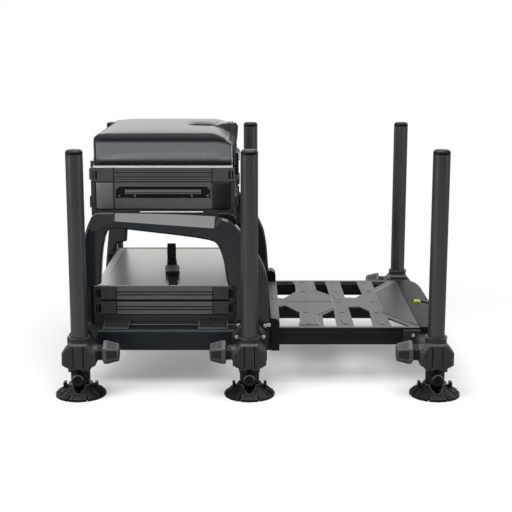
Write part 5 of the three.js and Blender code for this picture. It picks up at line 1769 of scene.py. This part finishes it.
    def place(self, u: float, v: float, step: int) -> Point:
        """Gives the point of the cushion's surface at a place in plan and a ring.

        Args:
            u: how far along, from -1 to 1.
            v: how far across, from -1 to 1.
            step: the ring's number.

        Returns:
            The point.
        """
        rise, inset = self.level(step)
        half_length = (self.front - self.rear) / 2 - inset
        half_width = self.half_width - inset
        x, y = u * half_length, v * half_width
        in_x, in_y = abs(x) - (half_length - self.corner), abs(y) - (half_width - self.corner)
        if in_x > 0 and in_y > 0:
            scale = max(in_x, in_y) / math.hypot(in_x, in_y)
            x = math.copysign(half_length - self.corner + in_x * scale, x)
            y = math.copysign(half_width - self.corner + in_y * scale, y)
        flank = self.flank(u, v)
        thigh = self.thigh_drop * self.forward(u) ** 2 * flank
        top = self.tip * self.forward(u) * (1 - flank) * rise
        if step == self.levels:
            top += self.crown * (1 - u ** 4) * (1 - v ** 4) - self.scoop[0] * self.hollow(u, v)
        pommel = self.pommel * rise * max(0.0, u) ** 8 * (1 - flank)
        middle = (self.front + self.rear) / 2
        return (middle + x + pommel, y, self.base + rise * (self.height - thigh) + top)

    def grid(self) -> tuple[list[Point], list[Sequence[int]], list[list[int]], list[Pair]]:
        """Lays the cushion's points and faces out.

        Returns:
            The points, the faces, the ring of point numbers at each level with the top's last, and
            each point's shares of the side panels and the painted shade.
        """
        us, vs = ([math.sin(math.pi / 2 * (2 * i / count - 1)) for i in range(count + 1)]
                  for count in (self.columns, self.rows))
        across = self.columns + 1
        sheet = [(i, j) for j in range(self.rows + 1) for i in range(across)]
        loop = [(i, 0) for i in range(self.columns)] + [(self.columns, j) for j in range(self.rows)]
        loop += [(i, self.rows) for i in range(self.columns, 0, -1)]
        loop += [(0, j) for j in range(self.rows, 0, -1)]
        steps = [(0, sheet), (self.levels, sheet)] + [(step, loop) for step in range(1, self.levels)]
        places = [(us[i], vs[j], step) for step, numbers in steps for i, j in numbers]
        starts = (0, len(sheet))
        faces: list[Sequence[int]] = []
        for start in starts:
            for j in range(self.rows):
                first = start + j * across
                faces += [(a, a + 1, a + across + 1, a + across) for a in range(first, first + self.columns)]
        bottom, top = ([start + j * across + i for i, j in loop] for start in starts)
        sides = [2 * len(sheet) + step * len(loop) for step in range(self.levels - 1)]
        rings = [bottom, *(list(range(start, start + len(loop))) for start in sides), top]
        for low, high in zip(rings, rings[1:]):
            faces += zip(low, low[1:] + low[:1], high[1:] + high[:1], high)
        return [self.place(*spot) for spot in places], faces, rings, [self.marks(*spot) for spot in places]

    def bake(self, made: Object) -> None:
        """Puts an object's modifiers into its mesh."""
        graph = bpy.context.evaluated_depsgraph_get()
        mesh = bpy.data.meshes.new_from_object(made.evaluated_get(graph))
        made.modifiers.clear()
        made.data = mesh

    def swell(self, made: Object) -> None:
        """Swells the cushion by a cloth simulation under pressure, held at its foot.

        Args:
            made: the cushion.
        """
        rest = [v.co.copy() for v in made.data.vertices]
        held = made.vertex_groups.new(name="held_on_base")
        held.add([i for i, p in enumerate(rest) if p.z < self.base + 0.004], 1.0, "REPLACE")
        cloth = made.modifiers.new("swell", "CLOTH")
        cloth.settings.use_pressure = True
        cloth.settings.uniform_pressure_force = self.pressure
        cloth.settings.effector_weights.gravity = 0
        cloth.settings.vertex_group_mass = held.name
        scene = bpy.context.scene
        for step in range(1, 21):
            scene.frame_set(step)
        graph = bpy.context.evaluated_depsgraph_get()
        moved = [v.co.copy() for v in made.evaluated_get(graph).data.vertices]
        made.modifiers.clear()
        longest = 0.0
        for vertex, start, end in zip(made.data.vertices, rest, moved):
            shift = end - start
            longest = max(longest, shift.length)
            if shift.length > self.cap:
                shift *= self.cap / shift.length
            vertex.co = start + shift
        scene.frame_set(1)
        log.info("cloth moved the cushion by %.4f m at most, capped at %.4f m", longest, self.cap)

    @staticmethod
    def mark_leather(mesh: Mesh, shares: Sequence[Pair]) -> None:
        """Writes each point's shares of the side panels and the painted shade, for the cover's finish."""
        for place, name in enumerate(MARKS):
            values = [pair[place] for pair in shares]
            mesh.attributes.new(name, "FLOAT", "POINT").data.foreach_set("value", values)

    def sink_seams(self, mesh: Mesh, rings: Sequence[Sequence[int]]) -> None:
        """Draws the two seam rings in, where the stitching pulls the cover tight."""
        for step, depth in zip((self.seam_low, self.seam_high), self.stitch_depths):
            for number in rings[step]:
                vertex = mesh.vertices[number]
                inward = Vector((self.rear + self.front, 0, 0)) / 2 - vertex.co
                inward.z = 0
                vertex.co += depth * inward.normalized()

    def piping(self, mesh: Mesh, rings: Sequence[Sequence[int]]) -> None:
        """Runs the corded piping up the cushion's corners, and along the folds of its front ones; the front
        corners' cords and the fold cords are pale, a painted highlight on real piping.

        Args:
            mesh: the cushion's mesh.
            rings: its rings of point numbers.
        """
        cords = []
        for number in (3, len(rings[0]) - self.rows - 3, self.columns - 1, self.columns + self.rows + 1):
            spots = [mesh.vertices[ring[number]].co for ring in rings[1:self.seam_high + 1]]
            path = [spot + Vector((0, math.copysign(0.0004, spot.y), 0)) for spot in spots]
            cords.append(SHOP.swept(path, self.cord, 8))
        start, length = self.ridge
        for way in (-1, 1):
            path = []
            for step in range(14):
                u = start + length * step / 13
                x, y, z = self.place(u, way * self.fold(u)[0], self.levels)
                path.append((x, y, z + 0.0006))
            cords.append(SHOP.swept(path, self.cord, 8))
        SHOP.piece("seat_rear_cords", cords[:2], BLACK, "seat")
        SHOP.piece("seat_piping", cords[2:], PIPING_PAINTED_HIGHLIGHT, "seat")

    def cushion(self) -> None:
        """Makes the cushion."""
        points, faces, rings, shares = self.grid()
        made = bpy.data.objects.new("seat_cushion_soft", SHOP.mesh_of(points, faces))
        bpy.context.scene.collection.objects.link(made)
        self.swell(made)
        self.sink_seams(made.data, rings)
        self.mark_leather(made.data, shares)
        self.piping(made.data, rings)
        finer = made.modifiers.new("finer", "SUBSURF")
        finer.levels = finer.render_levels = 1
        self.bake(made)
        made.data.materials.clear()
        made.data.materials.append(SHOP.material(COVER))
        made.data.polygons.foreach_set("use_smooth", [True] * len(made.data.polygons))
        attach(made, "seat")
        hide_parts("seat_cushion")
        log.info("made the cushion, %d faces", len(made.data.polygons))

    def welt_line(self) -> None:
        """Runs the black welt round the foot of the cushion, open at the front where the catch is."""
        front, rear, half, corner, up = self.welt
        turns = [math.pi / 2 * k / 4 for k in range(5)]
        turn = [(rear + corner * (1 - math.cos(a)), half - corner * (1 - math.sin(a)), up) for a in turns]
        near = [(x, -y, z) for x, y, z in turn[::-1]]
        path = [(front, -half, up), *near, *turn, (front, half, up)]
        SHOP.piece("seat_welt", [SHOP.swept(path, self.welt_radius, 8)], BLACK, "seat")

    def catch_trim(self) -> None:
        """Ribs the catch lever's thumb face, in pale steel whose colour is a painted glint."""
        x, start, end = self.catch_ribs
        parts = [SHOP.swept([(x, start, up), (x, end, up)], 0.0009) for up in self.catch_heights]
        SHOP.piece("catch_ribs", parts, STEEL_GLINT, "seat_latch")

    def build(self) -> None:
        """Makes the cushion and dresses the base and the catch."""
        self.cushion()
        SHOP.dress("seat_base", SEAT_EDGE, 0.0008)
        SHOP.dress("seat_latch", BLACK, 0.0008)
        self.welt_line()
        self.catch_trim()


@dataclass
class Footplate:
    """The sliding footplate: its panel with raised trim, its rails, nose moulding and level.

    Attributes:
        top: the height of the panel's face.
        raised: the height of its raised plates' faces.
        rear: the X of the panel's rear edge.
        length: the panel's length.
        half_width: half its width.
        hub: the hub plate's outline on one side, as shares of the length and half width.
        nose_plate: the same for the plate at the nose.
        slot_columns: the X of each column of slots.
        slot_rows: the Y of each row of slots.
        slot_half: half a slot's length and width.
        crease: the X of the two ends of the crease along the hub.
        bars: the ribs pressed in the bars, as X limits and Y limits.
        rib_height: how far they stand out.
        line: the radius of the beads along the plates' edges and the rails.
        rail_bolt: the place of the screw in a rail's front end.
        rail_line: the X of the rail beads' ends, and how far from the middle they are.
        rail_heights: their heights.
    """

    top: float = 0.119
    raised: float = 0.1202
    rear: float = 0.024
    length: float = 0.329
    half_width: float = 0.2216
    hub: Outline = (
        (0.119, 0.135), (0.222, 0.46), (0.222, 0.803), (0.205, 0.839), (0.205, 0.92), (0.334, 0.92),
        (0.334, 0.532), (0.465, 0.248),
    )
    nose_plate: Outline = ((0.802, 0.42), (0.985, 0.92), (1.0, 0.92))
    slot_columns: Point = (0.112, 0.194, 0.2735)
    slot_rows: tuple[float, ...] = (-0.198, -0.1, 0.0, 0.1, 0.198)
    slot_half: Pair = (0.0052, 0.0022)
    crease: Pair = (0.066, 0.1755)
    bars: tuple[tuple[float, float, float, float], ...] = (
        (0.1855, 0.2025, 0.03, 0.19), (0.2655, 0.2815, 0.118, 0.19), (0.0325, 0.0415, 0.03, 0.2),
    )
    rib_height: float = 0.0011
    line: float = 0.0006
    rail_bolt: Point = (0.3385, 0.2348, 0.104)
    rail_line: Point = (-0.039, 0.3345, 0.2261)
    rail_heights: Pair = (0.1085, 0.0865)

    def outline(self, shares: Sequence[Pair], side: Side) -> list[Pair]:
        """Turns shares of the panel's length and half width into X and Y on one side."""
        reach = side.value * self.half_width
        return [(self.rear + along * self.length, across * reach) for along, across in shares]

    def edges(self) -> None:
        """Beads the raised plates' edges in a pale sheet, a painted highlight along them."""
        lines = [self.outline(shares, side) for shares in (self.hub, self.nose_plate[:2]) for side in Side]
        for x, y in self.outline((self.hub[-1], self.nose_plate[0]), Side.FAR):
            lines.append([(x, y), (x, -y)])
        parts = [SHOP.swept([(x, y, self.raised) for x, y in line], self.line) for line in lines]
        SHOP.piece("plate_edges", parts, EDGE_HIGHLIGHT_SHEET, "footplate")

    def nose_cover(self) -> None:
        """Lays the darker satin plate over the plate at the nose, and the level's vial in front of it."""
        near, far = (self.outline(self.nose_plate, side) for side in Side)
        inner = SHOP.drawn_in([*near, *far[::-1]], 0.0014)
        cover = SHOP.slab(inner, (self.raised - 0.0004, self.raised + 0.0005), "Z", 0.0003)
        SHOP.piece("nose_cover", [cover], NOSE_PLATE, "footplate")
        low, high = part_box("spirit_level")
        xs = (low.x + 0.002, low.x + 0.006, high.x - 0.002)
        line = [(x, (low.y + high.y) / 2, self.top + 0.0024) for x in xs]
        SHOP.piece("level_vial", [SHOP.swept(line, 0.0042, 16)], VIAL, "footplate")

    def ribs(self) -> None:
        """Presses the long ribs into the bars between the openings."""
        parts = []
        heights = (self.top - 0.0012, self.top + self.rib_height)
        for x0, x1, y0, y1 in self.bars:
            outline = (
                (x0 + 0.003, y0), (x1 - 0.003, y0), (x1, y0 + 0.006), (x1, y1 - 0.006),
                (x1 - 0.003, y1), (x0 + 0.003, y1), (x0, y1 - 0.006), (x0, y0 + 0.006),
            )
            for side in Side:
                parts.append(SHOP.slab([(x, side.value * y) for x, y in outline], heights, "Z", 0.0008))
        SHOP.piece("plate_ribs", parts, SHEET, "footplate")

    def slots(self) -> None:
        """Marks the small slots pressed through the plates, and the crease along the hub."""
        parts = []
        for x in self.slot_columns:
            for y in self.slot_rows:
                height = self.raised if x < 0.15 else self.top
                if any(x0 < x < x1 and y0 < abs(y) < y1 for x0, x1, y0, y1 in self.bars):
                    height += self.rib_height
                limits = (height - 0.0008, height + 0.0002)
                parts.append(SHOP.slab(oval((x, y), self.slot_half), limits, "Z", 0.0001))
        parts.append(SHOP.swept([(x, 0.0, self.raised) for x in self.crease], 0.0004))
        SHOP.piece("plate_slots", parts, MATT, "footplate")

    def rail_trim(self) -> None:
        """Sets the steel screws in the rails' front ends, and beads their outer faces."""
        x, y, z = self.rail_bolt
        bolts = [SHOP.bolt((x, side.value * y, z), side.outward, 0.0036, 0.0034) for side in Side]
        SHOP.piece("rail_bolts", bolts, STEEL_GLINT, "footplate")
        *xs, y = self.rail_line
        beads = [SHOP.swept([(x, side.value * y, z) for x in xs], self.line)
                 for side in Side for z in self.rail_heights]
        SHOP.piece("rail_beads", beads, RAIL, "footplate")

    def build(self) -> None:
        """Dresses the footplate."""
        SHOP.dress("footplate_panel", SHEET, 0.0005)
        SHOP.dress("footplate_nose", NOSE, 0.0016)
        for side in Side:
            SHOP.dress(f"footplate_rail_{side.key}", RAIL, 0.0006)
        SHOP.dress("spirit_level", VIAL, 0.0004)
        self.edges()
        self.nose_cover()
        self.ribs()
        self.slots()
        self.rail_trim()


def main() -> None:
    """Builds the studio and dresses every sub-assembly."""
    logging.basicConfig(level=logging.INFO, format="%(name)s: %(message)s")
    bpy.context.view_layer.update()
    Studio().build()
    for column in Column:
        for side in Side:
            TelescopicLeg(column, side).build()
    for part in (ArchFrame(), DrawerUnits(), DeckStrap(), SeatPad(), Footplate()):
        part.build()


if __name__ == "__main__":
    main()
